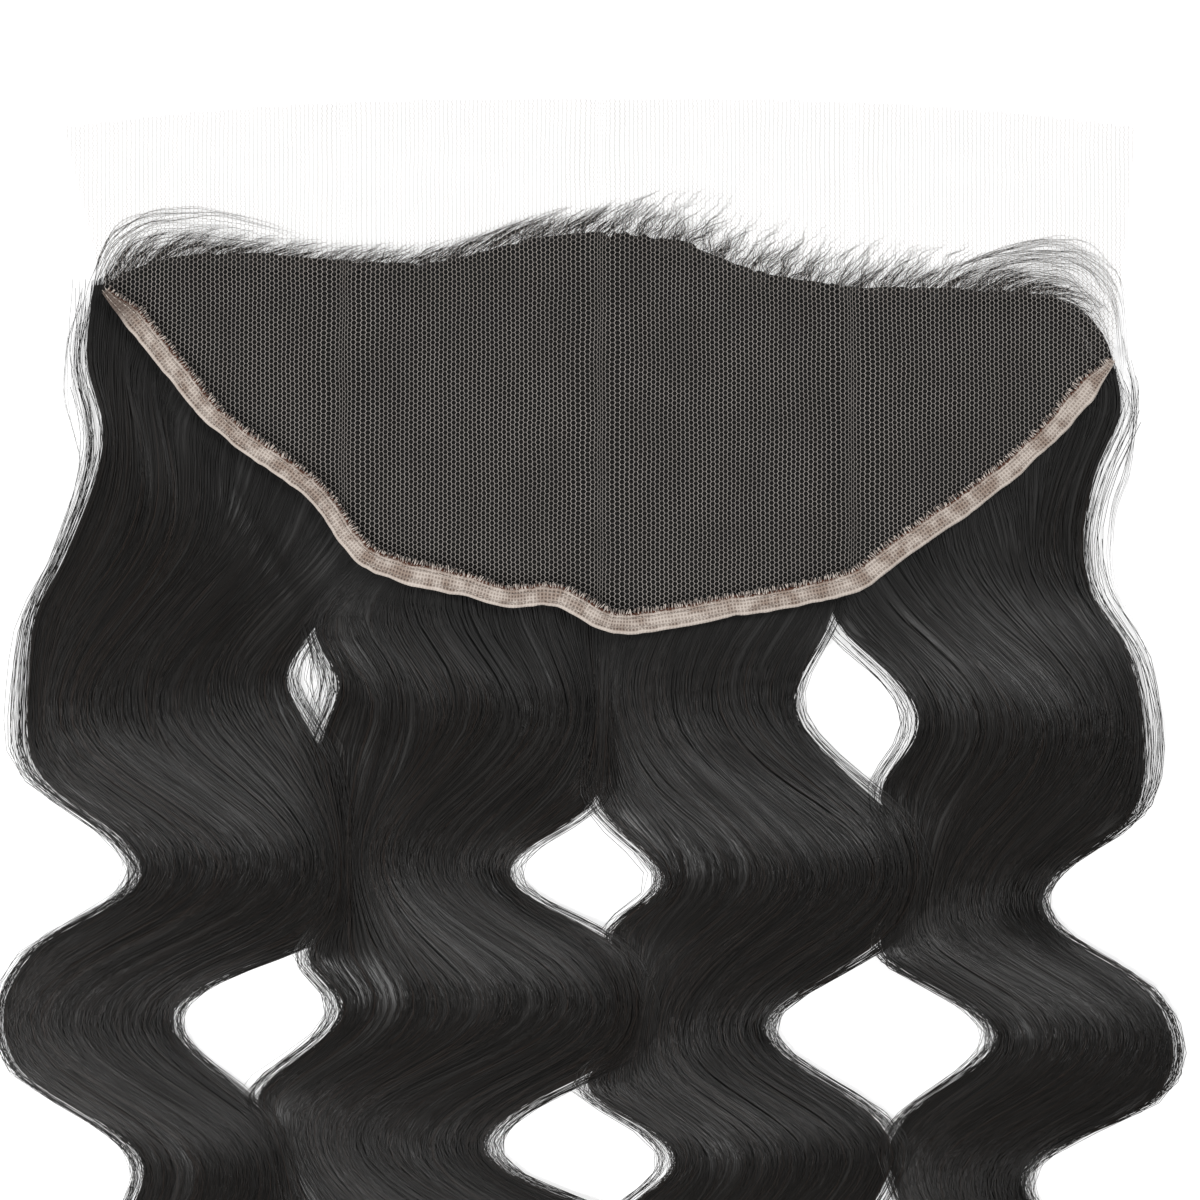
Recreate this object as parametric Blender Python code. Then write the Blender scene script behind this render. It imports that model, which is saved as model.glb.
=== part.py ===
"""Ear-to-ear lace frontal hairpiece, laid flat with the inner side of its lace facing up.

The piece is four waved locks of hair, the lace base that they are knotted into and the
binding tape along the rear edge of the lace. Tables are in millimetres: x runs to the right
from the middle of the piece, and down runs from the front edge of the lace towards the
ends of the hair. Everything rests on the plane z = 0.
"""

import math
from collections import namedtuple

import bmesh
import bpy

MM = 0.001

# Driving sizes of the base, in millimetres
BASE_HALF_WIDTH = 174.0
FRONT_EDGE_MIDDLE_X = 3.7
FRONT_EDGE_DROP = 9.5
FRONT_EDGE_POWER = 2.6
LACE_THICKNESS = 1.0
LACE_OVER_HAIR = 0.5
LACE_RISE_SLOPE = 0.4
LACE_RISE_LEAD = 6.0
LACE_RISE_SOFTNESS = 3.0

# Driving sizes of the tape and the locks, in millimetres
TAPE_WIDTH = 6.3
TAPE_THICKNESS = 1.2
TAPE_OVER_LACE = 0.3
TAPE_SETBACK = 0.3
HAIR_EDGE_THICKNESS = 0.5
PIECE_GAP = 0.3
HAIRLINE_FADE = 62.0
HAIRLINE_INSET = 1.0
OPENING_LENGTH = 26.0
CROWN_POWER = 2.2
CROWN_FULLNESS = 0.7
PARTING_DEPTH = 0.10
PARTING_SHARPNESS = 6.0
STRAND_RIDGES = 2.5
STRAND_RIDGE_DEPTH = 0.07

# Mesh density
LACE_COLUMNS = 42
LACE_ROWS_OVER_HAIR = 9
LACE_ROWS_RISING = 3
LACE_ROWS_MARGIN = 2
TAPE_SECTIONS = 64
LOCK_COLUMNS = 8
EDGE_CROWDING = 0.5
LOCK_ROW_LENGTH = 6.0

# Where an outer side of the hair, or a seam between two locks, bends.
Bend = namedtuple("Bend", "down x")
LEFT_SIDE = [
    Bend(54, -160),
    Bend(80, -163),
    Bend(108, -157),
    Bend(150, -170),
    Bend(170, -180),
    Bend(208, -182),
    Bend(222, -177),
    Bend(236, -156),
    Bend(251, -143),
    Bend(263, -153),
    Bend(273, -177),
    Bend(298, -190),
    Bend(316, -185),
    Bend(327, -167),
    Bend(345, -143),
    Bend(366, -151),
    Bend(393, -175),
    Bend(421, -156),
]
RIGHT_SIDE = [
    Bend(54, 168),
    Bend(88, 173),
    Bend(130, 162),
    Bend(143, 160),
    Bend(160, 162),
    Bend(180, 175),
    Bend(213, 180),
    Bend(231, 178),
    Bend(241, 167),
    Bend(249, 151),
    Bend(261, 144),
    Bend(272, 150),
    Bend(281, 170),
    Bend(296, 186),
    Bend(310, 190),
    Bend(323, 186),
    Bend(332, 171),
    Bend(342, 143),
    Bend(352, 139),
    Bend(395, 177),
    Bend(421, 143),
]
SEAMS = {
    "left": [
        Bend(54, -79),
        Bend(150, -79),
        Bend(177, -91),
        Bend(206, -88),
        Bend(227, -83),
        Bend(252, -80),
        Bend(268, -82),
        Bend(281, -100),
        Bend(321, -112),
        Bend(335, -101),
        Bend(368, -95),
    ],
    "middle": [
        Bend(54, 4),
        Bend(215, 4),
        Bend(232, 2),
        Bend(266, 1),
        Bend(280, 12),
        Bend(296, 15),
        Bend(310, 10),
        Bend(323, -10),
        Bend(359, 7),
        Bend(380, 14),
    ],
    "right": [
        Bend(54, 85),
        Bend(150, 85),
        Bend(173, 80),
        Bend(224, 91),
        Bend(235, 99),
        Bend(252, 104),
        Bend(266, 100),
        Bend(279, 90),
        Bend(338, 98),
        Bend(360, 96),
    ],
}

# Where a seam opens: how far the opening reaches to each side, and how round its ends are,
# from 0 for a point to 1 for the end of an ellipse. The last in each seam parts the ends.
Opening = namedtuple(
    "Opening",
    "seam top bottom left_down left_x right_down right_x top_roundness bottom_roundness",
)
OPENINGS = [
    Opening("left", 177, 206, 188, -99, 191, -80, 0.6, 0.5),
    Opening("left", 281, 321, 300, -137, 296, -78, 1.0, 0.5),
    Opening("left", 368, 462, 415, -140, 421, -57, 0.3, 0.3),
    Opening("middle", 232, 266, 250, -29, 255, 27, 0.35, 0.95),
    Opening("middle", 323, 359, 340, -36, 345, 30, 0.7, 0.85),
    Opening("middle", 380, 462, 421, -43, 421, 33, 0.5, 0.5),
    Opening("right", 173, 224, 197, 66, 203, 108, 0.55, 0.5),
    Opening("right", 279, 338, 301, 54, 304, 135, 0.4, 0.0),
    Opening("right", 343, 499, 421, 44, 421, 131, 0.0, 0.0),
]

# How high the hair stands.
Rise = namedtuple("Rise", "down height")
RISES = [
    Rise(54, 3.6),
    Rise(82, 5.6),
    Rise(108, 7.2),
    Rise(150, 8.8),
    Rise(190, 9.5),
    Rise(265, 9.5),
    Rise(320, 8.6),
    Rise(362, 7.6),
    Rise(395, 5.8),
    Rise(421, 2.0),
]

# The line where the hair leaves the lace at the front, from the left temple to the right.
EdgePoint = namedtuple("EdgePoint", "x down")
HAIRLINE = [
    EdgePoint(-160, 60),
    EdgePoint(-150, 51),
    EdgePoint(-140, 47),
    EdgePoint(-128, 46),
    EdgePoint(-95, 49),
    EdgePoint(-60, 50),
    EdgePoint(-45, 48),
    EdgePoint(-25, 42),
    EdgePoint(5, 39),
    EdgePoint(30, 42),
    EdgePoint(48, 50),
    EdgePoint(65, 55),
    EdgePoint(100, 58),
    EdgePoint(150, 59),
    EdgePoint(160, 64),
    EdgePoint(171, 81),
]

# The rear edge of the lace, which the tape binds, from the left temple to the right.
REAR_EDGE = [
    EdgePoint(-159, 62),
    EdgePoint(-145, 80),
    EdgePoint(-120, 109),
    EdgePoint(-90, 131),
    EdgePoint(-75, 151),
    EdgePoint(-62, 157),
    EdgePoint(-40, 162),
    EdgePoint(-25, 166),
    EdgePoint(-13, 165),
    EdgePoint(9, 174),
    EdgePoint(50, 168),
    EdgePoint(88, 160),
    EdgePoint(100, 151),
    EdgePoint(130, 130),
    EdgePoint(160, 102),
    EdgePoint(172, 84),
]

# Each lock with its shade, since the strands lie at different angles to the light.
Lock = namedtuple("Lock", "name left_seam right_seam ridge_phase shade")
LOCKS = [
    Lock("hair_lock_left_outer", None, "left", 0.1, 0.012),
    Lock("hair_lock_left_inner", "left", "middle", 0.6, 0.010),
    Lock("hair_lock_right_inner", "middle", "right", 0.3, 0.011),
    Lock("hair_lock_right_outer", "right", None, 0.8, 0.013),
]


def smoothstep(value):
    t = min(max(value, 0.0), 1.0)
    return t * t * (3.0 - 2.0 * t)


def curve_through(rows, place):
    """Reads a table of two columns at a place, on a smooth curve that turns only at its rows."""
    if place <= rows[0][0]:
        return rows[0][1]
    if place >= rows[-1][0]:
        return rows[-1][1]
    i = max(k for k in range(len(rows) - 1) if rows[k][0] <= place)

    def slope(k):
        return (rows[k + 1][1] - rows[k][1]) / (rows[k + 1][0] - rows[k][0])

    def tangent(k):
        if k == 0:
            return slope(0)
        if k == len(rows) - 1:
            return slope(k - 1)
        before = slope(k - 1)
        after = slope(k)
        if before * after <= 0:
            return 0.0
        return 2 * before * after / (before + after)

    width = rows[i + 1][0] - rows[i][0]
    t = (place - rows[i][0]) / width
    return (
        (2 * t**3 - 3 * t**2 + 1) * rows[i][1]
        + (t**3 - 2 * t**2 + t) * width * tangent(i)
        + (-2 * t**3 + 3 * t**2) * rows[i + 1][1]
        + (t**3 - t**2) * width * tangent(i + 1)
    )


def hair_height(down):
    return curve_through(RISES, down)


def hairline(x):
    return curve_through(HAIRLINE, x)


def rear_edge(x):
    return curve_through(REAR_EDGE, x)


def front_edge(x):
    share = abs(x - FRONT_EDGE_MIDDLE_X) / BASE_HALF_WIDTH
    return FRONT_EDGE_DROP * share**FRONT_EDGE_POWER


def lace_underside(x, down):
    """Height of the lace: flat on the surface at its margins, and rising over the hair."""
    inside = min(
        down - hairline(x),
        x - curve_through(LEFT_SIDE, down),
        curve_through(RIGHT_SIDE, down) - x,
    )
    reach = max(inside + LACE_RISE_LEAD, 0.0)
    reach = reach * reach / (reach + LACE_RISE_SOFTNESS)
    full = hair_height(down)
    return full * (1.0 - math.exp(-LACE_RISE_SLOPE * reach / full))


def opening_side(opening, side_down, side_x, down):
    """One side of an opening: out from its top end to its widest place, and back to its bottom."""
    if down < side_down:
        end = opening.top
        roundness = opening.top_roundness
    else:
        end = opening.bottom
        roundness = opening.bottom_roundness
    t = (down - end) / (side_down - end)
    round_end = math.sqrt(1.0 - (1.0 - t) ** 2)
    share = smoothstep(t) + (round_end - smoothstep(t)) * roundness
    tip = curve_through(SEAMS[opening.seam], end)
    return tip + (side_x - tip) * share


def seam_sides(seam, down):
    """Where the locks on either side of a seam have their edges, clear of each other."""
    left = curve_through(SEAMS[seam], down)
    right = left
    for opening in OPENINGS:
        if opening.seam == seam and opening.top < down < opening.bottom:
            left = opening_side(opening, opening.left_down, opening.left_x, down)
            right = opening_side(opening, opening.right_down, opening.right_x, down)
    return left - PIECE_GAP / 2, right + PIECE_GAP / 2


def lock_edges(lock, down):
    """Where a lock begins and ends across the piece."""
    if lock.left_seam is None:
        left = curve_through(LEFT_SIDE, down)
    else:
        left = seam_sides(lock.left_seam, down)[1]
    if lock.right_seam is None:
        right = curve_through(RIGHT_SIDE, down)
    else:
        right = seam_sides(lock.right_seam, down)[0]
    return left, right


def lock_top(lock, x, down, across):
    """Height of a lock at the share across of its width, from 0 at its left edge to 1."""
    off_middle = abs(2.0 * across - 1.0)
    under_lace = lace_underside(x, down) - LACE_OVER_HAIR
    under_lace *= 1.0 - PARTING_DEPTH * off_middle**PARTING_SHARPNESS
    crown = (1.0 - off_middle**CROWN_POWER) ** CROWN_FULLNESS
    ridges = math.cos(2 * math.pi * (STRAND_RIDGES * across + lock.ridge_phase))
    body = hair_height(down) - HAIR_EDGE_THICKNESS
    free = HAIR_EDGE_THICKNESS + body * crown * (1.0 - STRAND_RIDGE_DEPTH * (1.0 + ridges))
    opened = smoothstep((down - rear_edge(x)) / OPENING_LENGTH)
    height = (1.0 - opened) * under_lace + opened * free
    return max(height, HAIR_EDGE_THICKNESS)


def make_material(name, colour, roughness, metallic=0.0):
    material = bpy.data.materials.new(name)
    material.use_nodes = True
    shader = material.node_tree.nodes["Principled BSDF"]
    shader.inputs["Base Color"].default_value = (*colour, 1.0)
    shader.inputs["Roughness"].default_value = roughness
    shader.inputs["Metallic"].default_value = metallic
    material.diffuse_color = (*colour, 1.0)
    return material


def make_object(name, points, faces, material, place, parent, sharp_degrees=50.0):
    """A closed mesh of points in millimetres, with its origin moved to place."""
    mesh = bpy.data.meshes.new(name)
    local = [tuple((p[k] - place[k]) * MM for k in range(3)) for p in points]
    mesh.from_pydata(local, [], faces)
    shape = bmesh.new()
    shape.from_mesh(mesh)
    bmesh.ops.recalc_face_normals(shape, faces=shape.faces)
    shape.to_mesh(mesh)
    shape.free()
    mesh.shade_smooth()
    mesh.set_sharp_from_angle(angle=math.radians(sharp_degrees))
    mesh.materials.append(material)
    thing = bpy.data.objects.new(name, mesh)
    thing.location = tuple(v * MM for v in place)
    thing.parent = parent
    bpy.context.scene.collection.objects.link(thing)
    return thing


def skin_of_rings(rings):
    """Points and faces of a closed body through rings, each one row and the row facing it."""
    count = len(rings[0])
    points = [point for ring in rings for point in ring]
    faces = []
    for r in range(len(rings) - 1):
        for k in range(count):
            after = (k + 1) % count
            faces.append((r * count + k, r * count + after, (r + 1) * count + after, (r + 1) * count + k))
    last = (len(rings) - 1) * count
    for k in range(count // 2 - 1):
        end = (k, k + 1, count - 2 - k, count - 1 - k)
        faces.append(end)
        faces.append(tuple(last + corner for corner in end))
    return points, faces


def make_hair_lock(lock, parent):
    """One lock as a loft from the hairline to its ends, flat below and crowned above."""
    first = LEFT_SIDE[0].down
    length = LEFT_SIDE[-1].down - first
    row_count = round(length / LOCK_ROW_LENGTH)
    rings = []
    for row in range(row_count + 1):
        station = first + length * row / row_count
        fade = max(0.0, 1.0 - (station - first) / HAIRLINE_FADE)
        left, right = lock_edges(lock, station)
        top = []
        for column in range(LOCK_COLUMNS + 1):
            even = column / LOCK_COLUMNS
            rounded = 0.5 - 0.5 * math.cos(math.pi * even)
            across = even + (rounded - even) * EDGE_CROWDING
            x = left + (right - left) * across
            down = station + (hairline(x) + HAIRLINE_INSET - first) * fade
            top.append((x, -down, lock_top(lock, x, down, across)))
        below = [(x, y, 0.0) for x, y, z in reversed(top)]
        rings.append(top + below)
    points, faces = skin_of_rings(rings)
    colour = (lock.shade * 1.15, lock.shade, lock.shade * 0.92)
    material = make_material(lock.name, colour, 0.36)
    root = ((rings[0][0][0] + rings[0][LOCK_COLUMNS][0]) / 2, -first, 0.0)
    return make_object(lock.name, points, faces, material, root, parent)


def lace_point(across, row):
    """A point of the lace sheet in plan: row runs from the rear edge to the front edge."""
    rear_x = REAR_EDGE[0].x + (REAR_EDGE[-1].x - REAR_EDGE[0].x) * across
    front_x = FRONT_EDGE_MIDDLE_X + BASE_HALF_WIDTH * (2.0 * across - 1.0)
    rear = rear_edge(rear_x)
    front = front_edge(front_x)
    roots = min(hairline(rear_x), rear - 1.0)
    rise_starts = max(roots - LACE_RISE_LEAD - 1.0, front + 1.0)
    if row <= LACE_ROWS_OVER_HAIR:
        share = row / LACE_ROWS_OVER_HAIR
        down = rear + (roots - rear) * (1.0 - (1.0 - share) ** 1.6)
    elif row <= LACE_ROWS_OVER_HAIR + LACE_ROWS_RISING:
        share = (row - LACE_ROWS_OVER_HAIR) / LACE_ROWS_RISING
        down = roots + (rise_starts - roots) * share
    else:
        share = (row - LACE_ROWS_OVER_HAIR - LACE_ROWS_RISING) / LACE_ROWS_MARGIN
        down = rise_starts + (front - rise_starts) * share
    x = rear_x + (front_x - rear_x) * (rear - down) / (rear - front)
    return x, down


def make_lace_base(parent):
    """The lace as one sheet: a flat front margin, then a low dome over the hair roots."""
    row_count = LACE_ROWS_OVER_HAIR + LACE_ROWS_RISING + LACE_ROWS_MARGIN
    rings = []
    for column in range(LACE_COLUMNS + 1):
        across = column / LACE_COLUMNS
        below = []
        for row in range(row_count + 1):
            x, down = lace_point(across, row)
            below.append((x, -down, lace_underside(x, down)))
        above = [(x, y, z + LACE_THICKNESS) for x, y, z in reversed(below)]
        rings.append(below + above)
    points, faces = skin_of_rings(rings)
    material = make_material("lace_base", (0.80, 0.76, 0.71), 0.8)
    place = (FRONT_EDGE_MIDDLE_X, 0.0, 0.0)
    return make_object("lace_base", points, faces, material, place, parent)


def make_edge_binding(parent):
    """The tape: a flat strip with rounded edges on the lace, along its rear edge."""
    first = REAR_EDGE[0].x + 1.0
    span = REAR_EDGE[-1].x - 1.0 - first
    step = 1.0
    rings = []
    for section in range(TAPE_SECTIONS + 1):
        x = first + span * section / TAPE_SECTIONS
        slope = (rear_edge(x + step) - rear_edge(x - step)) / (2 * step)
        length = math.hypot(1.0, slope)
        inward = (slope / length, -1.0 / length)
        profile = [
            (TAPE_SETBACK, 0.0),
            (TAPE_SETBACK + TAPE_WIDTH, 0.0),
            (TAPE_SETBACK + TAPE_WIDTH, 0.6 * TAPE_THICKNESS),
            (TAPE_SETBACK + 0.85 * TAPE_WIDTH, TAPE_THICKNESS),
            (TAPE_SETBACK + 0.15 * TAPE_WIDTH, TAPE_THICKNESS),
            (TAPE_SETBACK, 0.6 * TAPE_THICKNESS),
        ]
        ring = []
        for aside, up in profile:
            px = x + inward[0] * aside
            down = rear_edge(x) + inward[1] * aside
            seat = lace_underside(px, down) + LACE_THICKNESS + TAPE_OVER_LACE
            ring.append((px, -down, seat + up))
        rings.append(ring)
    points, faces = skin_of_rings(rings)
    material = make_material("edge_binding", (0.48, 0.36, 0.29), 0.85)
    place = (FRONT_EDGE_MIDDLE_X, -rear_edge(FRONT_EDGE_MIDDLE_X), 0.0)
    return make_object("edge_binding", points, faces, material, place, parent)


def centre_on_origin(pieces, root):
    """Moves the whole piece so that its box stands on the origin by the middle of its base."""
    bpy.context.view_layer.update()
    corners = [p.matrix_world @ v.co for p in pieces for v in p.data.vertices]
    for axis in range(2):
        values = [c[axis] for c in corners]
        root.location[axis] = -(min(values) + max(values)) / 2
    root.location[2] = -min(c[2] for c in corners)


def main():
    for thing in list(bpy.data.objects):
        bpy.data.objects.remove(thing, do_unlink=True)
    root = bpy.data.objects.new("hairpiece", None)
    bpy.context.scene.collection.objects.link(root)
    pieces = [make_hair_lock(lock, root) for lock in LOCKS]
    pieces.append(make_lace_base(root))
    pieces.append(make_edge_binding(root))
    centre_on_origin(pieces, root)


main()
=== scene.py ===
"""Ear-to-ear lace frontal hairpiece, laid flat with the inner side of its lace facing up.

Four waved locks of hair come out from under a lace base, whose rear edge is bound with tape.
Run as a script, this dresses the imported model. Lengths are metres, and MM turns millimetres
into them. Down is the distance from the front edge of the lace towards the hair's ends.
"""

import math
from collections import namedtuple

import bmesh
import bpy
import numpy as np
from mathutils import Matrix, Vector
from mathutils.bvhtree import BVHTree


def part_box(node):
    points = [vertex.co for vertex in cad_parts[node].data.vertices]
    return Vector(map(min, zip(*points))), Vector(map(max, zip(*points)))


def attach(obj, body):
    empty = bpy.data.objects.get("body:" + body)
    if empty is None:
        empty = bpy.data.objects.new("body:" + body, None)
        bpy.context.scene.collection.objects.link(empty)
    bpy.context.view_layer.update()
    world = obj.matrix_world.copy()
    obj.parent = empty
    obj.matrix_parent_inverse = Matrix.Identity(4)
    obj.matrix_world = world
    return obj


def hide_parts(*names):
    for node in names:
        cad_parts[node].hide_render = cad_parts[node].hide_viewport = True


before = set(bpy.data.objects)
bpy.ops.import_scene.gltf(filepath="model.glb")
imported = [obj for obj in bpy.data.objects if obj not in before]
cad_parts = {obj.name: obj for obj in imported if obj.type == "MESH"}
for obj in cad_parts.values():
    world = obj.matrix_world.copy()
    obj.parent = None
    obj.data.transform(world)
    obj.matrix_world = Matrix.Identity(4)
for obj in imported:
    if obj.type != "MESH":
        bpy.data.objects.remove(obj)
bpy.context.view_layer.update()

bl_info = {
    "name": "Lace Frontal Hairpiece",
    "version": (1, 0, 0),
    "blender": (4, 5, 0),
    "location": "View3D > Sidebar > Hairpiece",
    "description": "Waved locks, lace base and edge binding of an ear-to-ear frontal",
    "category": "Object",
}

MM = 0.001

# What the CAD model gives
LOCK_NAMES = (
    "hair_lock_left_outer",
    "hair_lock_left_inner",
    "hair_lock_right_inner",
    "hair_lock_right_outer",
)
FRONT_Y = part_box("lace_base")[1].y
HAIR_END_DOWN = FRONT_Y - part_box("hair_lock_left_inner")[0].y
ABOVE_ALL = 0.05
OUTSIDE = 0.3
HAIRLINE_SPAN = (-158 * MM, 170.5 * MM)
EDGE_LEVEL = 0.25 * MM
GAP_REACH = 0.4 * MM

# How the hair flows from the hairline and round the tape
LEFT_CORNER_DOWN = 62 * MM
RIGHT_CORNER_DOWN = 85 * MM
HAIRLINE_FADE = 62 * MM
LEAN_LENGTH = 13 * MM
LEAN_LIMIT = 1.0
LEAN_MIDDLE = 0.12
LEAN_MARGIN = 30 * MM
UNDER_TAPE = 9 * MM
LOOSE_HAIR_HEIGHT = 0.6 * MM
BELOW_LACE_TOP = 0.9 * MM
PRESSED_GAP = 1.5 * MM
PRESSED_OVERLAP = 0.5 * MM
# Length below the tape over which the hair is darkened: painted shade of the tape.
PAINTED_SHADE_BELOW_TAPE = 30 * MM

# Where the hairs of a lock all lie furthest to one side: down in millimetres, and the side,
# -1 for left and 1 for right.
LOCK_TURNS = {
    "hair_lock_left_outer": [
        (95, -0.2), (138, 0.6), (200, -1.0), (249, 1.0), (298, -1.0), (345, 1.0), (393, -0.6),
    ],
    "hair_lock_left_inner": [(152, -0.7), (200, 1.0), (245, -1.0), (294, 1.0), (339, -1.0), (385, 0.6)],
    "hair_lock_right_inner": [(150, 0.1), (190, -1.0), (252, 1.0), (297, -1.0), (342, 1.0), (390, -0.6)],
    "hair_lock_right_outer": [
        (95, 0.2), (146, -0.7), (203, 1.0), (259, -1.0), (303, 1.0), (347, -1.0), (395, 0.6),
    ],
}
TURN_CROWDING = 0.62
SIDE_SMOOTHING = 14
INNER_SMOOTHING = 110
SIDE_REACH = 0.16

# Long swellings of the hair, and creases where the rise is negative: from one place to
# another in x and down, with their half width and rise, all in millimetres.
Swelling = namedtuple("Swelling", "x down end_x end_down half_width rise")
SWELLINGS = [
    Swelling(28, 213, 76, 229, 8, -2.6),
    Swelling(4, 176, 4, 228, 5, -1.6),
    Swelling(48, 234, 98, 246, 7, 0.6),
    Swelling(112, 150, 158, 160, 9, -1.6),
    Swelling(-121, 130, -102, 162, 5, 1.1),
    Swelling(-112, 128, -96, 158, 4, -0.9),
    Swelling(-50, 160, -38, 188, 6, 0.9),
    Swelling(-26, 168, -16, 196, 5, -1.0),
    Swelling(-150, 205, -104, 228, 6, 0.8),
    Swelling(-146, 222, -110, 243, 5, -0.9),
    Swelling(104, 176, 160, 190, 6, -1.0),
]

# Mesh density of the locks
LOCK_COLUMNS = 72
LOCK_ROWS = 144
UNDERSIDE_STEP = 6
GUIDE_COLUMNS = 44
GUIDE_ROWS = 130
GUIDE_OVERHANG = 0.09
GUIDE_END = 0.0015
BUNDLE_COLUMNS = 12
BUNDLE_ROWS = 36
WISP_COLUMNS = 150
WISP_ROWS = 20
HEIGHT_SMOOTHING = 10

# Grooves of a lock's top, broad to fine: waves across, waves along, and depth in millimetres
GROOVES = ((9, 7, 0.35), (24, 10, 0.14), (48, 12, 0.06))
GROOVES_FADE = 18 * MM

# Outline and faces of a lock
FRONT_SETBACK = 3.5 * MM
FRONT_JAG = 2.5 * MM
END_JAG = 6 * MM
SIDE_SHARE = 1 / 14
SIDE_HEIGHT = 0.5 * MM
THINNEST = 0.4 * MM
UNDERSIDE_LEVEL = 0.1 * MM
SHADE_MARGIN = 3 * MM
ROOT_ROUGHNESS = 0.75

# How the short hairs of the hairline lie: x, their angle from the right-hand side, how far
# they turn along their length, both in degrees, and how far they reach in millimetres.
WispSweep = namedtuple("WispSweep", "x angle turn reach")
WISP_SWEEPS = [
    WispSweep(-158, 92, -50, 11),
    WispSweep(-149, 72, -55, 12),
    WispSweep(-136, 50, -45, 10),
    WispSweep(-110, 38, -35, 9),
    WispSweep(-77, 40, -30, 7),
    WispSweep(-45, 46, -25, 7),
    WispSweep(-22, 42, -25, 10),
    WispSweep(0, 48, -25, 10),
    WispSweep(20, 62, -20, 10),
    WispSweep(52, 60, -20, 12),
    WispSweep(85, 62, -20, 12),
    WispSweep(117, 52, -30, 12),
    WispSweep(137, 38, -45, 11),
    WispSweep(153, 25, -70, 10),
    WispSweep(166, -20, -60, 9),
]
WISP_ROOT_DEPTH = 11 * MM

# Bundles of loose hairs, each between two routes of x and down in millimetres.
LooseBundle = namedtuple("LooseBundle", "name count radius first second")
LOOSE_BUNDLES = [
    LooseBundle(
        "left_temple_loops",
        34,
        0.075,
        [(-157, 68), (-152, 58), (-143, 51), (-129, 48), (-112, 50), (-92, 54)],
        [(-163, 80), (-162, 60), (-154, 43), (-139, 36), (-117, 37), (-90, 44)],
    ),
    LooseBundle(
        "right_temple_loops",
        52,
        0.075,
        [(120, 67), (136, 60), (150, 59), (160, 65), (167, 76), (170, 90)],
        [(111, 57), (128, 50), (150, 46), (166, 50), (174, 63), (176, 92)],
    ),
    LooseBundle(
        "left_opening_hairs",
        22,
        0.11,
        [(-96, 170), (-93, 181), (-92, 193), (-94, 204), (-95, 216)],
        [(-87, 168), (-82, 180), (-80, 193), (-82, 205), (-87, 218)],
    ),
    LooseBundle(
        "left_side_hairs",
        10,
        0.06,
        [(-159, 62), (-163, 76), (-164, 92), (-160, 110), (-162, 132), (-172, 156)],
        [(-160, 58), (-169, 78), (-170, 98), (-165, 118), (-168, 140), (-178, 160)],
    ),
    LooseBundle(
        "right_side_hairs",
        10,
        0.06,
        [(171, 80), (174, 96), (171, 114), (166, 132), (165, 150), (172, 170)],
        [(173, 74), (178, 98), (176, 120), (171, 138), (171, 156), (180, 176)],
    ),
]

# The net: flat-topped hexagons, whose columns crowd together at the three folds.
NET_FOLDS = (-79 * MM, 3.7 * MM, 85 * MM)
NET_FOLD_WIDTH = 5 * MM
NET_FOLD_CROWDING = 0.45
VEIL_COLUMNS = 90
VEIL_ROWS = 40
VEIL_THICKNESS = 0.15 * MM
VEIL_DEPTH = 0.5 * MM
NET_LIFT = 0.35 * MM

# The tape
TAPE_WIDTH = 6.3 * MM
TAPE_SECTIONS = 260
TAPE_END = 14 * MM
STITCH_ROWS = (1.5 * MM, 4.6 * MM)
BARE_NET_END = (8.0, 15.0)

# The view, which looks straight down
VIEW_MIDDLE = (3.7 * MM, 47.4 * MM)
VIEW_WIDTH = 389 * MM
CAMERA_HEIGHT = 1.6
SENSOR_WIDTH = 36.0

# The studio
FLOOR_WIDTH = 8
LIT_PLACE = (VIEW_MIDDLE[0], VIEW_MIDDLE[1] - 0.08, 0.0)
KEY_PLACE = (1.3, 1.35, 1.5)
KEY_SIZE = 0.85
FILL_PLACE = (-0.65, -0.75, 0.75)
FILL_SIZE = 0.6


def smoothstep(value):
    t = np.clip(value, 0.0, 1.0)
    return t * t * (3.0 - 2.0 * t)


def search_tree(*names):
    """A search tree over the triangles of the named CAD nodes."""
    points = []
    triangles = []
    for name in names:
        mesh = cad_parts[name].data
        mesh.calc_loop_triangles()
        start = len(points)
        points.extend(vertex.co.copy() for vertex in mesh.vertices)
        for triangle in mesh.loop_triangles:
            triangles.append(tuple(start + corner for corner in triangle.vertices))
    return BVHTree.FromPolygons(points, triangles)


HAIR_TREE = search_tree(*LOCK_NAMES)
LACE_TREE = search_tree("lace_base")
TAPE_TREE = search_tree("edge_binding")


def hit_from(tree, start, direction):
    return tree.ray_cast(Vector(start), Vector(direction))[0]


def heights_over(tree, x, y, missing, reach=GAP_REACH):
    """Height of the highest solid at each place, or missing where there is none."""
    flat_x = np.ravel(x)
    flat_y = np.ravel(y)
    heights = np.full(flat_x.shape, missing)
    for i in range(len(flat_x)):
        for nudge in (-reach, 0.0, reach):
            hit = hit_from(tree, (flat_x[i] + nudge, flat_y[i], ABOVE_ALL), (0, 0, -1))
            if hit is not None:
                heights[i] = max(heights[i], hit.z)
    return heights.reshape(np.shape(x))


class Profile:
    """A smooth line across the piece, read as a function of x."""

    def __init__(self, x, value, smoothing=0):
        self.x = np.array(x)
        self.value = np.array(value)
        for _ in range(smoothing):
            inner = (self.value[:-2] + 2 * self.value[1:-1] + self.value[2:]) / 4
            self.value[1:-1] = inner

    def at(self, x):
        return np.interp(x, self.x, self.value)


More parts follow.
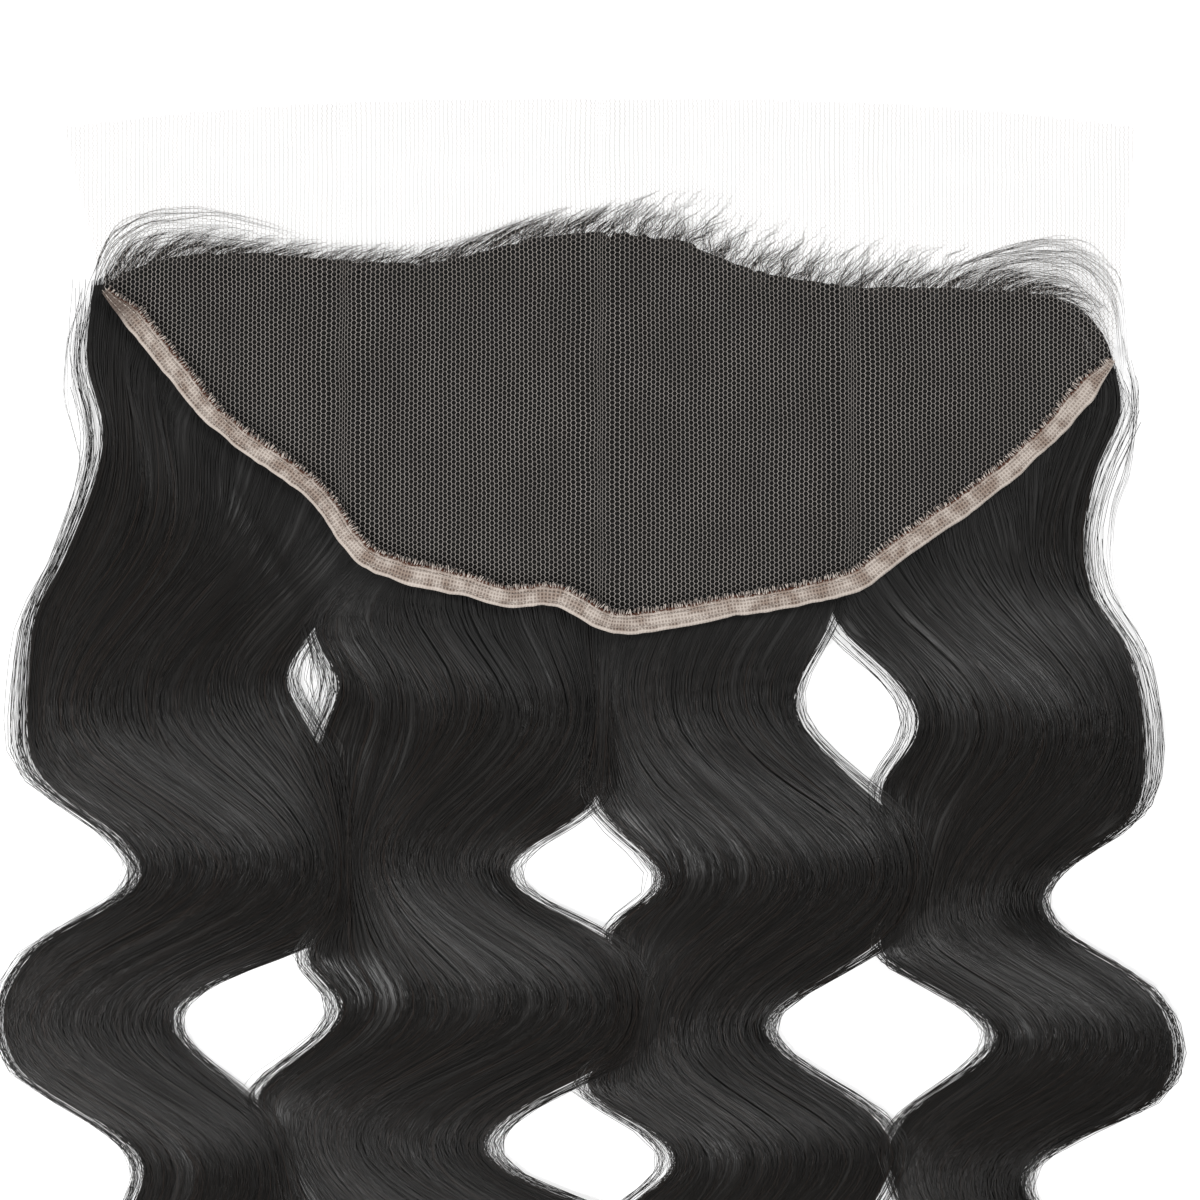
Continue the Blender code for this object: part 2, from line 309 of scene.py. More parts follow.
def read_edge(tree, heading, places, levels, pick, nudges=(0.0,), smoothing=0):
    """Down to an edge at places in x, from rays that meet it from outside at several levels."""
    kept = []
    downs = []
    for x in places:
        hits = []
        for nudge in nudges:
            for level in levels:
                hit = hit_from(tree, (x + nudge, -OUTSIDE * heading, level), (0, heading, 0))
                if hit is not None:
                    hits.append(FRONT_Y - hit.y)
        if hits:
            kept.append(x)
            downs.append(pick(hits))
    return Profile(kept, downs, smoothing)


def edge_grid(node, inset, count):
    """Places in x over a node, and its lowest and highest level."""
    low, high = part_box(node)
    return np.linspace(low.x + inset, high.x - inset, count), low.z, high.z


def read_hairline():
    """Down to where the hair begins, read along the floor of the piece."""
    places = np.linspace(*HAIRLINE_SPAN, 165)
    nudges = (-GAP_REACH, 0.0, GAP_REACH)
    return read_edge(HAIR_TREE, -1, places, (EDGE_LEVEL,), min, nudges, smoothing=2)


def read_rear_edge():
    """Down to the rear edge of the tape, the lowest hit of rays at several levels."""
    places, low, high = edge_grid("edge_binding", 0.5 * MM, 330)
    return read_edge(TAPE_TREE, 1, places, np.linspace(low + 0.1 * MM, high - 0.1 * MM, 14), max, smoothing=3)


def read_front_edge():
    """Down to the front edge of the lace."""
    places, low, high = edge_grid("lace_base", 0.3 * MM, 120)
    return read_edge(LACE_TREE, -1, places, (low + 0.5 * MM,), min)


HAIRLINE = read_hairline()
REAR_EDGE = read_rear_edge()
FRONT_DOWN = read_front_edge()
FIRST_DOWN = float(HAIRLINE.value.min())


def read_lean():
    """Sideways slope at which hair leaves the tape, at right angles to it."""
    slope = np.gradient(REAR_EDGE.value, REAR_EDGE.x)
    profile = Profile(REAR_EDGE.x, slope, smoothing=500)
    profile.value = np.clip(profile.value + LEAN_MIDDLE, -LEAN_LIMIT, LEAN_LIMIT)
    return profile


LEAN = read_lean()


class LockFlow:
    """Places within a lock: across from its left side, 0, to its right side, 1, and down."""

    def __init__(self, name):
        tree = search_tree(name)
        low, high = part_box(name)
        self.name = name
        self.left = self.read_side(tree, low.x - 0.1, 1, LEFT_CORNER_DOWN)
        right_start = RIGHT_CORNER_DOWN if name == LOCK_NAMES[-1] else LEFT_CORNER_DOWN
        self.right = self.read_side(tree, high.x + 0.1, -1, right_start)
        self.turns = LOCK_TURNS[name]
        self.soften()

    def soften(self):
        """Keeps rounder copies of the sides, which the hairs inside the lock follow."""
        self.soft_left = Profile(self.left.x, self.left.value, smoothing=INNER_SMOOTHING)
        self.soft_right = Profile(self.right.x, self.right.value, smoothing=INNER_SMOOTHING)

    def across_sides(self, share, station):
        """The x of a share of the lock's width, sharp at its sides and rounder inside."""
        left = self.left.at(station)
        right = self.right.at(station)
        soft_left = self.soft_left.at(station)
        soft_right = self.soft_right.at(station)
        inside = np.clip(share, 0.0, 1.0)
        tail = math.exp(-1.0 / SIDE_REACH)
        near_left = np.exp(-inside / SIDE_REACH) - inside * tail
        near_right = np.exp(-(1.0 - inside) / SIDE_REACH) - (1.0 - inside) * tail
        x = soft_left + (soft_right - soft_left) * share
        return x + (left - soft_left) * near_left + (right - soft_right) * near_right

    def read_side(self, tree, outside, heading, first_down):
        """One side of the lock, from rays that meet it from outside."""
        downs = np.arange(first_down, HAIR_END_DOWN - 0.5 * MM, 1.5 * MM)
        places = [hit_from(tree, (outside, FRONT_Y - down, EDGE_LEVEL), (heading, 0, 0)).x for down in downs]
        return Profile(downs, places, smoothing=SIDE_SMOOTHING)

    def swing(self, station):
        """How far the hairs lie to one side at a station, from -1 at the left to 1."""
        given = np.array(self.turns)
        place = np.clip(np.interp(station, given[:, 0] * MM, np.arange(len(given))), 0, len(given) - 1)
        row = np.minimum(place.astype(int), len(given) - 2)
        share = smoothstep(place - row)
        return given[row, 1] + (given[row + 1, 1] - given[row, 1]) * share

    def drifted(self, across, station):
        """Where a hair lies across the lock at a station, its edges kept where they are."""
        inside = np.clip(across, 0.0, 1.0)
        return across + TURN_CROWDING * self.swing(station) * inside * (1.0 - inside)

    def looseness(self, across, station):
        """How widely the hairs are spread at a place, 1 where they are even."""
        return 1.0 + TURN_CROWDING * self.swing(station) * (1.0 - 2.0 * across)

    def press_against(self, neighbour):
        """Closes the narrow gap to the lock on the right, wherever the two are pressed together."""
        gap = neighbour.left.value - self.right.value
        overlap = np.where(gap < PRESSED_GAP, gap / 2 + PRESSED_OVERLAP, 0.0)
        self.right.value += overlap
        neighbour.left.value -= overlap
        self.soften()
        neighbour.soften()

    def plan(self, across, down):
        """The x and y of places in the lock, given as arrays."""
        fade = np.clip(1.0 - (down - FIRST_DOWN) / HAIRLINE_FADE, 0.0, 1.0)
        lowered = down
        for _ in range(4):
            x = self.across_sides(self.drifted(across, lowered), lowered)
            lowered = down + (HAIRLINE.at(x) - FIRST_DOWN) * fade
        past_tape = np.maximum(lowered - REAR_EDGE.at(x), 0.0)
        sides = smoothstep((x - SIDE_LEFT.at(lowered)) / LEAN_MARGIN)
        sides = sides * smoothstep((SIDE_RIGHT.at(lowered) - x) / LEAN_MARGIN)
        lean = LEAN.at(x) * LEAN_LENGTH * np.exp(-past_tape / LEAN_LENGTH)
        return x + lean * sides, FRONT_Y - lowered


FLOWS = [LockFlow(name) for name in LOCK_NAMES]
for lock, neighbour in zip(FLOWS, FLOWS[1:]):
    lock.press_against(neighbour)
SIDE_LEFT = FLOWS[0].left
SIDE_RIGHT = FLOWS[-1].right


def swelling_rise(x, y):
    """How far the hair stands above or below the model's surface, from the list of swellings."""
    rise = np.zeros(np.shape(x))
    for swelling in SWELLINGS:
        start = np.array([swelling.x * MM, FRONT_Y - swelling.down * MM])
        end = np.array([swelling.end_x * MM, FRONT_Y - swelling.end_down * MM])
        run = end - start
        along = ((x - start[0]) * run[0] + (y - start[1]) * run[1]) / (run @ run)
        past_ends = np.maximum(np.maximum(-along, along - 1.0), 0.0) * 1.6
        off = ((x - start[0]) * run[1] - (y - start[1]) * run[0]) / math.hypot(*run)
        side = off / (swelling.half_width * MM)
        rise = rise + swelling.rise * MM * np.exp(-(side**2) - past_ends**2 * 9.0)
    return rise


def soft_noise(rng, across, along, cells_across, cells_along):
    """Smooth noise from -1 to 1 over places from 0 to 1, stretched along the strands."""
    table = rng.uniform(-1.0, 1.0, (cells_across + 2, cells_along + 2))
    a = np.clip(across, 0.0, 1.0) * cells_across
    b = np.clip(along, 0.0, 1.0) * cells_along
    i = np.floor(a).astype(int)
    j = np.floor(b).astype(int)
    s = smoothstep(a - i)
    t = smoothstep(b - j)
    near = table[i, j] * (1 - s) + table[i + 1, j] * s
    far = table[i, j + 1] * (1 - s) + table[i + 1, j + 1] * s
    return near * (1 - t) + far * t


def smoothed(field, passes):
    """A grid of heights averaged with its neighbours, its border rows and columns kept."""
    field = field.copy()
    for _ in range(passes):
        inner = field[1:-1, 1:-1] * 4
        inner += field[:-2, 1:-1] + field[2:, 1:-1] + field[1:-1, :-2] + field[1:-1, 2:]
        field[1:-1, 1:-1] = inner / 8
    return field


def new_object(name, mesh):
    thing = bpy.data.objects.new(name, mesh)
    bpy.context.scene.collection.objects.link(thing)
    return thing


def mesh_from(name, points, faces):
    mesh = bpy.data.meshes.new(name)
    mesh.from_pydata([tuple(p) for p in points], [], faces)
    mesh.update()
    return mesh


def face_outward(mesh):
    shape = bmesh.new()
    shape.from_mesh(mesh)
    bmesh.ops.recalc_face_normals(shape, faces=shape.faces)
    shape.to_mesh(mesh)
    shape.free()


def grid_faces(rows, columns):
    faces = []
    for r in range(rows - 1):
        for c in range(columns - 1):
            corner = r * columns + c
            faces.append((corner, corner + columns, corner + columns + 1, corner + 1))
    return faces


def write_uv(mesh, name, values):
    """A UV map from one pair of values for each vertex."""
    layer = mesh.uv_layers.new(name=name)
    corners = np.empty(len(mesh.loops), dtype=np.int32)
    mesh.loops.foreach_get("vertex_index", corners)
    layer.data.foreach_set("uv", np.asarray(values, dtype=np.float32)[corners].ravel())


def keep_piece(thing):
    """Sets a finished piece on the one body."""
    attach(thing, "root")
    return thing


class NodeTree:
    """A thin hand for building node trees: nodes by type, with their inputs given in order."""

    def __init__(self, tree):
        self.tree = tree

    def feed(self, socket, value):
        if isinstance(value, bpy.types.NodeSocket):
            self.tree.links.new(value, socket)
        else:
            socket.default_value = value

    def node(self, kind, *values, **settings):
        made = self.tree.nodes.new(kind)
        for key, value in settings.items():
            setattr(made, key, value)
        for place, value in enumerate(values):
            if value is not None:
                self.feed(made.inputs[place], value)
        return made

    def named(self, kind, values, **settings):
        """A node whose inputs are given by name."""
        made = self.node(kind, **settings)
        for name, value in values.items():
            self.feed(made.inputs[name], value)
        return made

    def math(self, operation, first, second=None, third=None):
        return self.node("ShaderNodeMath", first, second, third, operation=operation).outputs[0]

    def plus(self, first, second):
        return self.math("ADD", first, second)

    def minus(self, first, second):
        return self.math("SUBTRACT", first, second)

    def times(self, first, second):
        return self.math("MULTIPLY", first, second)

    def kept_between(self, value, low, high):
        return self.math("MAXIMUM", self.math("MINIMUM", value, high), low)

    def rising(self, value, low, high, top=1.0):
        """From 0 at the low value to the top at the high one."""
        return self.node("ShaderNodeMapRange", value, low, high, 0.0, top).outputs[0]

    def vector(self, x=0.0, y=0.0, z=0.0):
        return self.node("ShaderNodeCombineXYZ", x, y, z).outputs[0]

    def vector_math(self, operation, first, second):
        return self.node("ShaderNodeVectorMath", first, second, operation=operation).outputs[0]

    def noise(self, place, scale, detail):
        return self.node("ShaderNodeTexNoise", place, None, scale, detail).outputs[0]

    def attribute(self, name):
        read = self.node("ShaderNodeAttribute", attribute_name=name, attribute_type="GEOMETRY")
        return read.outputs["Fac"]

    def ramp(self, factor, stops):
        made = self.node("ShaderNodeValToRGB", factor)
        elements = made.color_ramp.elements
        while len(elements) < len(stops):
            elements.new(0.5)
        for element, (place, colour) in zip(elements, stops):
            element.position = place
            element.color = (*colour, 1.0)
        return made.outputs["Color"]

    def mixed(self, factor, first, second):
        """A mix of two colours, each a socket or three plain values."""
        made = self.node("ShaderNodeMix", factor, data_type="RGBA")
        for socket, colour in ((made.inputs[6], first), (made.inputs[7], second)):
            linked = isinstance(colour, bpy.types.NodeSocket)
            self.feed(socket, colour if linked else (*colour, 1.0))
        return made.outputs[2]


class GrowthTree(NodeTree):
    """A Geometry Nodes tree with named inputs, which takes and gives one geometry."""

    def __init__(self, name, **inputs):
        super().__init__(bpy.data.node_groups.new(name, "GeometryNodeTree"))
        sockets = self.tree.interface
        sockets.new_socket("Geometry", in_out="INPUT", socket_type="NodeSocketGeometry")
        sockets.new_socket("Geometry", in_out="OUTPUT", socket_type="NodeSocketGeometry")
        self.keys = {}
        for kind, labels in {**inputs, "Material": "Material"}.items():
            for label in labels.split(", "):
                item = sockets.new_socket(label, in_out="INPUT", socket_type="NodeSocket" + kind)
                self.keys[label] = item.identifier
        self.given = self.tree.nodes.new("NodeGroupInput").outputs
        self.result = self.tree.nodes.new("NodeGroupOutput").inputs

    def random(self, low, high, index, step):
        """A value for each hair or thread; each use in a tree has its own step of the seed."""
        made = self.node("FunctionNodeRandomValue", data_type="FLOAT")
        seed = self.plus(self.given["Seed"], float(step))
        for place, value in ((2, low), (3, high), (7, index), (8, seed)):
            self.feed(made.inputs[place], value)
        return made.outputs[1]

    def store(self, geometry, name, value, domain):
        values = {"Geometry": geometry, "Name": name, "Value": value}
        kind = "GeometryNodeStoreNamedAttribute"
        return self.named(kind, values, data_type="FLOAT", domain=domain).outputs[0]

    def finish(self, geometry):
        real = self.node("GeometryNodeRealizeInstances", geometry).outputs[0]
        values = {"Geometry": real, "Material": self.given["Material"]}
        self.feed(self.result[0], self.named("GeometryNodeSetMaterial", values).outputs[0])


def grown(thing, growth, values):
    """Runs a tree on an object, keeps the result as its plain mesh and keeps the piece."""
    modifier = thing.modifiers.new(growth.tree.name, "NODES")
    modifier.node_group = growth.tree
    for label, value in values.items():
        modifier[growth.keys[label]] = value
    bpy.context.view_layer.update()
    graph = bpy.context.evaluated_depsgraph_get()
    mesh = bpy.data.meshes.new_from_object(
        thing.evaluated_get(graph), preserve_all_data_layers=True, depsgraph=graph
    )
    thing.modifiers.remove(modifier)
    base = thing.data
    thing.data = mesh
    mesh.name = thing.name
    bpy.data.meshes.remove(base)
    if len(mesh.polygons) == 0:
        raise RuntimeError(thing.name + " came out empty")
    return keep_piece(thing)


def strand_growth():
    """Hairs laid along a guide sheet, whose UV map runs across it and along it."""
    growth = GrowthTree(
        "strands_on_guide",
        Int="Count, Points, Seed",
        Float="Across From, Across To, Start Spread, Shortest, Longest, Clumps, Lock Wander, "
        "Hair Wander, Edge Freedom, Lift, Radius, Tip Share",
    )
    given = growth.given
    line = growth.node("GeometryNodeCurvePrimitiveLine").outputs[0]
    resampled = growth.node("GeometryNodeResampleCurve", line, None, given["Points"]).outputs[0]
    copies = growth.node("GeometryNodeDuplicateElements", resampled, None, given["Count"], domain="SPLINE")
    hairs = copies.outputs[0]
    index = copies.outputs[1]
    along = growth.node("GeometryNodeSplineParameter").outputs[0]
    across = growth.random(given["Across From"], given["Across To"], index, 0)
    to_other_side = growth.math("MULTIPLY_ADD", across, -2.0, 1.0)
    across = growth.math("MULTIPLY_ADD", growth.math("MODULO", index, 2.0), to_other_side, across)
    start = growth.math("POWER", growth.random(0.0, 1.0, index, 1), 1.6)
    start = growth.times(start, given["Start Spread"])
    length = growth.random(given["Shortest"], given["Longest"], index, 2)
    down = growth.math("MULTIPLY_ADD", length, along, start)
    down = growth.kept_between(down, GUIDE_END, 1.0 - GUIDE_END)

    seed = given["Seed"]
    shared_place = growth.vector(
        growth.times(across, given["Clumps"]), growth.times(down, 5.0), growth.times(seed, 7.3)
    )
    own_place = growth.vector(growth.times(index, 13.7), growth.times(down, 4.0), growth.times(seed, 3.1))
    shared = growth.minus(growth.noise(shared_place, 1.0, 1.0), 0.5)
    own = growth.minus(growth.noise(own_place, 1.0, 1.0), 0.5)
    wander = growth.plus(growth.times(shared, given["Lock Wander"]), growth.times(own, given["Hair Wander"]))
    inside = growth.math("MINIMUM", across, growth.minus(1.0, across))
    free = growth.math("MULTIPLY_ADD", inside, 9.0, given["Edge Freedom"])
    free = growth.math("MINIMUM", growth.math("MAXIMUM", free, given["Edge Freedom"]), 1.0)
    across = growth.plus(across, growth.times(wander, free))
    across = growth.kept_between(across, 0.002 - GUIDE_OVERHANG, 1.0 + GUIDE_OVERHANG - 0.002)

    position = growth.node("GeometryNodeInputPosition").outputs[0]
    flow_map = growth.node("GeometryNodeInputNamedAttribute", "flow", data_type="FLOAT_VECTOR").outputs[0]
    place = growth.vector(across, down)
    sheet = (given["Geometry"], position, flow_map, place)
    on_sheet = growth.node("GeometryNodeSampleUVSurface", *sheet, data_type="FLOAT_VECTOR").outputs[0]
    lift = growth.random(0.0, given["Lift"], index, 3)
    lifted = growth.vector_math("ADD", on_sheet, growth.vector(0.0, 0.0, lift))
    hairs = growth.node("GeometryNodeSetPosition", hairs, None, lifted).outputs[0]

    size = growth.random(0.75, 1.25, index, 4)
    taper = growth.times(growth.math("POWER", along, 4.0), growth.minus(1.0, given["Tip Share"]))
    radius = growth.times(growth.times(size, growth.minus(1.0, taper)), given["Radius"])
    hairs = growth.store(hairs, "tone", growth.random(0.0, 1.0, index, 5), "CURVE")
    hairs = growth.store(hairs, "along", along, "POINT")
    hairs = growth.node("GeometryNodeSetCurveRadius", hairs, None, radius).outputs[0]
    profile = growth.named("GeometryNodeCurvePrimitiveCircle", {"Resolution": 3, "Radius": 1.0}).outputs[0]
    tube = growth.named(
        "GeometryNodeCurveToMesh",
        {"Curve": hairs, "Profile Curve": profile, "Scale": radius, "Fill Caps": True},
    )
    growth.finish(growth.node("GeometryNodeSetShadeSmooth", tube.outputs[0]).outputs[0])
    return growth


def sheet_places(rows, across_line):
    """Grids of the places along a sheet and across it."""
    return np.meshgrid(np.linspace(0.0, 1.0, rows), across_line, indexing="ij")


def overhung_line(columns):
    """Shares across a guide, which reaches a little past the hairs at both sides."""
    return np.linspace(-GUIDE_OVERHANG, 1.0 + GUIDE_OVERHANG, columns)


def rows_of(*grids):
    """One row of values for each place of the grids."""
    return np.stack([np.ravel(grid) for grid in grids], axis=1)


def guide_object(name, x, y, z, across, along):
    """A sheet of places that hairs follow, its UV map giving across and along."""
    mesh = mesh_from(name, rows_of(x, y, z), grid_faces(*x.shape))
    write_uv(mesh, "flow", rows_of(across, along))
    return new_object(name, mesh)


def lock_guide(flow, name):
    """The sheet that a lock's strands follow, from under the tape to the ends."""
    across_line = overhung_line(GUIDE_COLUMNS)
    start = np.full(GUIDE_COLUMNS, 0.12)
    for _ in range(14):
        x, y = flow.plan(across_line, start)
        start = start + 0.7 * (REAR_EDGE.at(x) - UNDER_TAPE - (FRONT_Y - y))
        start = np.maximum(start, FIRST_DOWN)
    along, across = sheet_places(GUIDE_ROWS, across_line)
    down = start + (HAIR_END_DOWN + 5 * MM - start) * along
    x, y = flow.plan(across, down)
    z = smoothed(heights_over(HAIR_TREE, x, y, LOOSE_HAIR_HEIGHT), HEIGHT_SMOOTHING) + swelling_rise(x, y)
    return guide_object(name, x, y, np.maximum(z, LOOSE_HAIR_HEIGHT), across, along)


def smooth_route(points, count):
    """Places along a smooth curve through a few points, in even shares of its table."""
    given = np.array(points)
    rows = np.vstack([2 * given[0] - given[1], given, 2 * given[-1] - given[-2]])
    share = np.linspace(0.0, len(given) - 1.0001, count)
    base = np.floor(share).astype(int)
    t = (share - base)[:, None]
    a, b, c, d = rows[base], rows[base + 1], rows[base + 2], rows[base + 3]
    return 0.5 * (
        2 * b + (c - a) * t + (2 * a - 5 * b + 4 * c - d) * t**2 + (3 * b - a - 3 * c + d) * t**3
    )


def hair_or_lace_height(x, y):
    """Height for a loose hair: on the locks, under the lace, or just off the surface."""
    on_hair = heights_over(HAIR_TREE, x, y, LOOSE_HAIR_HEIGHT, 0.0)
    under_lace = heights_over(LACE_TREE, x, y, 0.0, 0.0) - BELOW_LACE_TOP
    return np.where(under_lace > 0.0, np.maximum(under_lace, EDGE_LEVEL), on_hair)


def bundle_guide(bundle):
    """The sheet between a bundle's two routes."""
    first = smooth_route(bundle.first, BUNDLE_ROWS) * MM
    second = smooth_route(bundle.second, BUNDLE_ROWS) * MM
    along, across = sheet_places(BUNDLE_ROWS, overhung_line(BUNDLE_COLUMNS))
    x = first[:, :1] + (second[:, :1] - first[:, :1]) * across
    y = FRONT_Y - (first[:, 1:] + (second[:, 1:] - first[:, 1:]) * across)
    z = smoothed(hair_or_lace_height(x, y), 2)
    return guide_object(bundle.name, x, y, z, across, along)


def wisp_guide(name):
    """The sheet that the hairline's short hairs follow, out from the roots and turning."""
    across_line = overhung_line(WISP_COLUMNS)
    along, across = sheet_places(WISP_ROWS, across_line)
    low, high = HAIRLINE.x[0], HAIRLINE.x[-1]
    root_x = low + (high - low) * np.clip(across_line, 0.0, 1.0)
    table = np.array(WISP_SWEEPS)
    angle, turn, reach = (np.interp(root_x / MM, table[:, 0], table[:, k]) for k in (1, 2, 3))
    angle = np.radians(angle)
    turn = np.radians(turn)
    step = (WISP_ROOT_DEPTH + 1.7 * (reach * MM)) / (WISP_ROWS - 1)
    x = np.empty_like(along)
    y = np.empty_like(along)
    x[0] = root_x - np.cos(angle) * WISP_ROOT_DEPTH
    y[0] = FRONT_Y - HAIRLINE.at(root_x) - np.abs(np.sin(angle)) * WISP_ROOT_DEPTH
    for r in range(1, WISP_ROWS):
        heading = angle + turn * (r / (WISP_ROWS - 1)) ** 1.5
        x[r] = x[r - 1] + np.cos(heading) * step
        y[r] = y[r - 1] + np.sin(heading) * step
    z = smoothed(hair_or_lace_height(x, y), 2)
    return guide_object(name, x, y, z, across, along)


def closed_mesh(name, points, faces, uv_name, uv):
    """A smooth closed mesh with its faces outward and one UV map."""
    mesh = mesh_from(name, points, faces)
    write_uv(mesh, uv_name, uv)
    face_outward(mesh)
    mesh.shade_smooth()
    return mesh


def lock_body_mesh(flow, seed):
    """A closed lock: a grooved top that follows the strands, and a flat underside."""
    rng = np.random.default_rng(seed)
    rows = LOCK_ROWS + 1
    columns = LOCK_COLUMNS + 1
    even = np.linspace(0.0, 1.0, columns)
    across_line = even + (0.5 - 0.5 * np.cos(np.pi * even) - even) * 0.5
    along, across = sheet_places(rows, across_line)
    front_jag = FRONT_SETBACK + FRONT_JAG * (0.5 + 0.5 * soft_noise(rng, across, along * 0, 70, 1)) ** 2
    end_jag = END_JAG * (1 + soft_noise(rng, across, along * 0, 14, 1))
    first = FIRST_DOWN + front_jag
    down = first + (HAIR_END_DOWN - end_jag - first) * along
    x, y = flow.plan(across, down)
    z = smoothed(heights_over(HAIR_TREE, x, y, SIDE_HEIGHT), HEIGHT_SMOOTHING)
    groove = 0.0
    for cells_across, cells_along, depth in GROOVES:
        groove = groove + depth * (soft_noise(rng, across, along, cells_across, cells_along) - 1)
    groove = groove * np.clip(flow.looseness(across, FRONT_Y - y), 0.0, 1.0)
    inside = smoothstep(across / SIDE_SHARE) * smoothstep((1 - across) / SIDE_SHARE)
    past_tape = FRONT_Y - y - REAR_EDGE.at(x)
    open_hair = 0.35 + 0.65 * smoothstep(past_tape / GROOVES_FADE)
    z = np.maximum(z + groove * MM * inside * open_hair + swelling_rise(x, y), THINNEST)
    top = rows_of(x, y, z)
    flow_uv = rows_of(across * 80.0, down / MM)
    faces = grid_faces(rows, columns)

    picks = np.arange(0, columns, UNDERSIDE_STEP)
    grid = np.arange(rows * columns).reshape(rows, columns)
    places = grid[:, picks].ravel()
    under_points = top[places].copy()
    under_points[:, 2] = UNDERSIDE_LEVEL
    under = (len(top) + np.arange(len(places))).reshape(rows, len(picks))
    for r in range(rows - 1):
        for c in range(len(picks) - 1):
            faces.append((under[r, c], under[r, c + 1], under[r + 1, c + 1], under[r + 1, c]))
        for c in (0, -1):
            faces.append((grid[r, c], grid[r + 1, c], under[r + 1, c], under[r, c]))
    for r in (0, rows - 1):
        for c in range(len(picks) - 1):
            above = tuple(grid[r, picks[c] : picks[c + 1] + 1])
            faces.append(above + (under[r, c + 1], under[r, c]))
    faces = [tuple(int(corner) for corner in face) for face in faces]
    points = np.vstack([top, under_points])
    mesh = closed_mesh(flow.name + "_body", points, faces, "flow", np.vstack([flow_uv, flow_uv[places]]))
    past_tape = past_tape.ravel()
    # How far the hair is clear of the painted shade of the tape: 0 at the tape, 1 well below it.
    shade_free_share = smoothstep(np.concatenate([past_tape, past_tape[places]]) / PAINTED_SHADE_BELOW_TAPE)
    mesh.attributes.new("open", "FLOAT", "POINT").data.foreach_set("value", shade_free_share.astype(np.float32))
    # Faces under the lace take the second material, a darker and less glossy copy: painted shade of the net.
    for face in mesh.polygons:
        under_lace = FRONT_Y - face.center.y < REAR_EDGE.at(face.center.x) - SHADE_MARGIN
        face.material_index = int(under_lace)
    mesh.set_sharp_from_angle(angle=math.radians(60))
    return mesh


def new_material(name, **sockets):
    """A material with its shader, whose plain values are given, and a hand for its tree."""
    material = bpy.data.materials.new(name)
    material.use_nodes = True
    shader = material.node_tree.nodes["Principled BSDF"]
    for key, value in sockets.items():
        shader.inputs[key.replace("_", " ")].default_value = value
    return material, NodeTree(material.node_tree), shader


def bumped(hand, shader, height, strength, distance):
    made = hand.named("ShaderNodeBump", {"Strength": strength, "Distance": distance, "Height": height})
    hand.feed(shader.inputs["Normal"], made.outputs[0])


def times(colour, factor):
    return tuple(factor * c for c in colour)


def lock_material(settings, name, lighter, roughness, gloss):
    """Massed hair: dark, streaked along the strands, with fine furrows between them, and painted shade just
    below the tape.
    """
    material, hand, shader = new_material(name, Specular_IOR_Level=gloss)
    flow = hand.node("ShaderNodeUVMap", uv_map="flow").outputs[0]
    streaks = []
    for scale, detail in ((0.55, 0.010, 1.0), 4.0), ((3.4, 0.022, 1.0), 3.0):
        place = hand.named("ShaderNodeMapping", {"Vector": flow, "Scale": scale}).outputs[0]
        streaks.append(hand.noise(place, 1.0, detail))
    broad, fine = streaks
    dark = times(settings.hair_colour, lighter)
    stops = [(0.30, times(dark, 0.45)), (0.52, dark), (0.70, times(dark, 1.7))]
    colour = hand.ramp(hand.math("MULTIPLY_ADD", fine, 0.7, hand.times(broad, 0.3)), stops)
    # Darker and duller just below the tape: painted shade of the tape.
    shade_free_share = hand.attribute("open")
    hand.feed(shader.inputs["Base Color"], hand.mixed(shade_free_share, times(dark, 0.4), colour))
    duller = hand.math("MULTIPLY_ADD", shade_free_share, roughness - ROOT_ROUGHNESS, ROOT_ROUGHNESS)
    hand.feed(shader.inputs["Roughness"], duller)
    bumped(hand, shader, fine, 0.7, 0.30 * MM)
    return material


def strand_material(settings, name, lighter, shaded_root_length):
    """Single hairs: near black, darker and dull at the root as painted shade where they come out from under
    the tape and the lace, some of them brown and a few reddish.
    """
    material, hand, shader = new_material(name, Specular_IOR_Level=0.5)
    dark = times(settings.hair_colour, lighter)
    brown = times(settings.warm_colour, lighter)
    brownish = tuple(0.6 * a + 0.4 * b for a, b in zip(dark, brown))
    stops = [(0.0, times(dark, 0.5)), (0.70, dark), (0.95, brownish), (1.0, brown)]
    tone = hand.ramp(hand.attribute("tone"), stops)
    # Painted shade over the hairs' roots, fading out along them.
    shade_free_share = hand.rising(hand.attribute("along"), 0.02, shaded_root_length)
    hand.feed(shader.inputs["Base Color"], hand.mixed(shade_free_share, times(dark, 0.4), tone))
    duller = hand.math("MULTIPLY_ADD", shade_free_share, -0.33, ROOT_ROUGHNESS)
    hand.feed(shader.inputs["Roughness"], duller)
    return material


def net_material(settings):
    """Fine clear nylon, which looks grey over the hair and nearly vanishes over white."""
    material, hand, shader = new_material(
        "lace_thread", Roughness=0.55, Alpha=settings.thread_opacity, Specular_IOR_Level=0.3
    )
    patch = hand.noise(hand.node("ShaderNodeTexCoord").outputs["Object"], 60.0, 2.0)
    light = settings.thread_colour
    hand.feed(shader.inputs["Base Color"], hand.ramp(patch, [(0.35, times(light, 0.82)), (0.65, light)]))
    return material


def veil_material(settings):
    """The haze of finer threads between the holes of the net."""
    material, hand, shader = new_material(
        "lace_haze", Roughness=0.8, Alpha=settings.haze_opacity, Specular_IOR_Level=0.1
    )
    place = hand.node("ShaderNodeUVMap", uv_map="weave").outputs[0]
    threads = hand.node("ShaderNodeTexWave", place, 0.7, 1.2, 2.0, wave_type="BANDS", bands_direction="X")
    light = settings.thread_colour
    colour = hand.ramp(threads.outputs["Fac"], [(0.0, times(light, 0.85)), (1.0, light)])
    hand.feed(shader.inputs["Base Color"], colour)
    return material


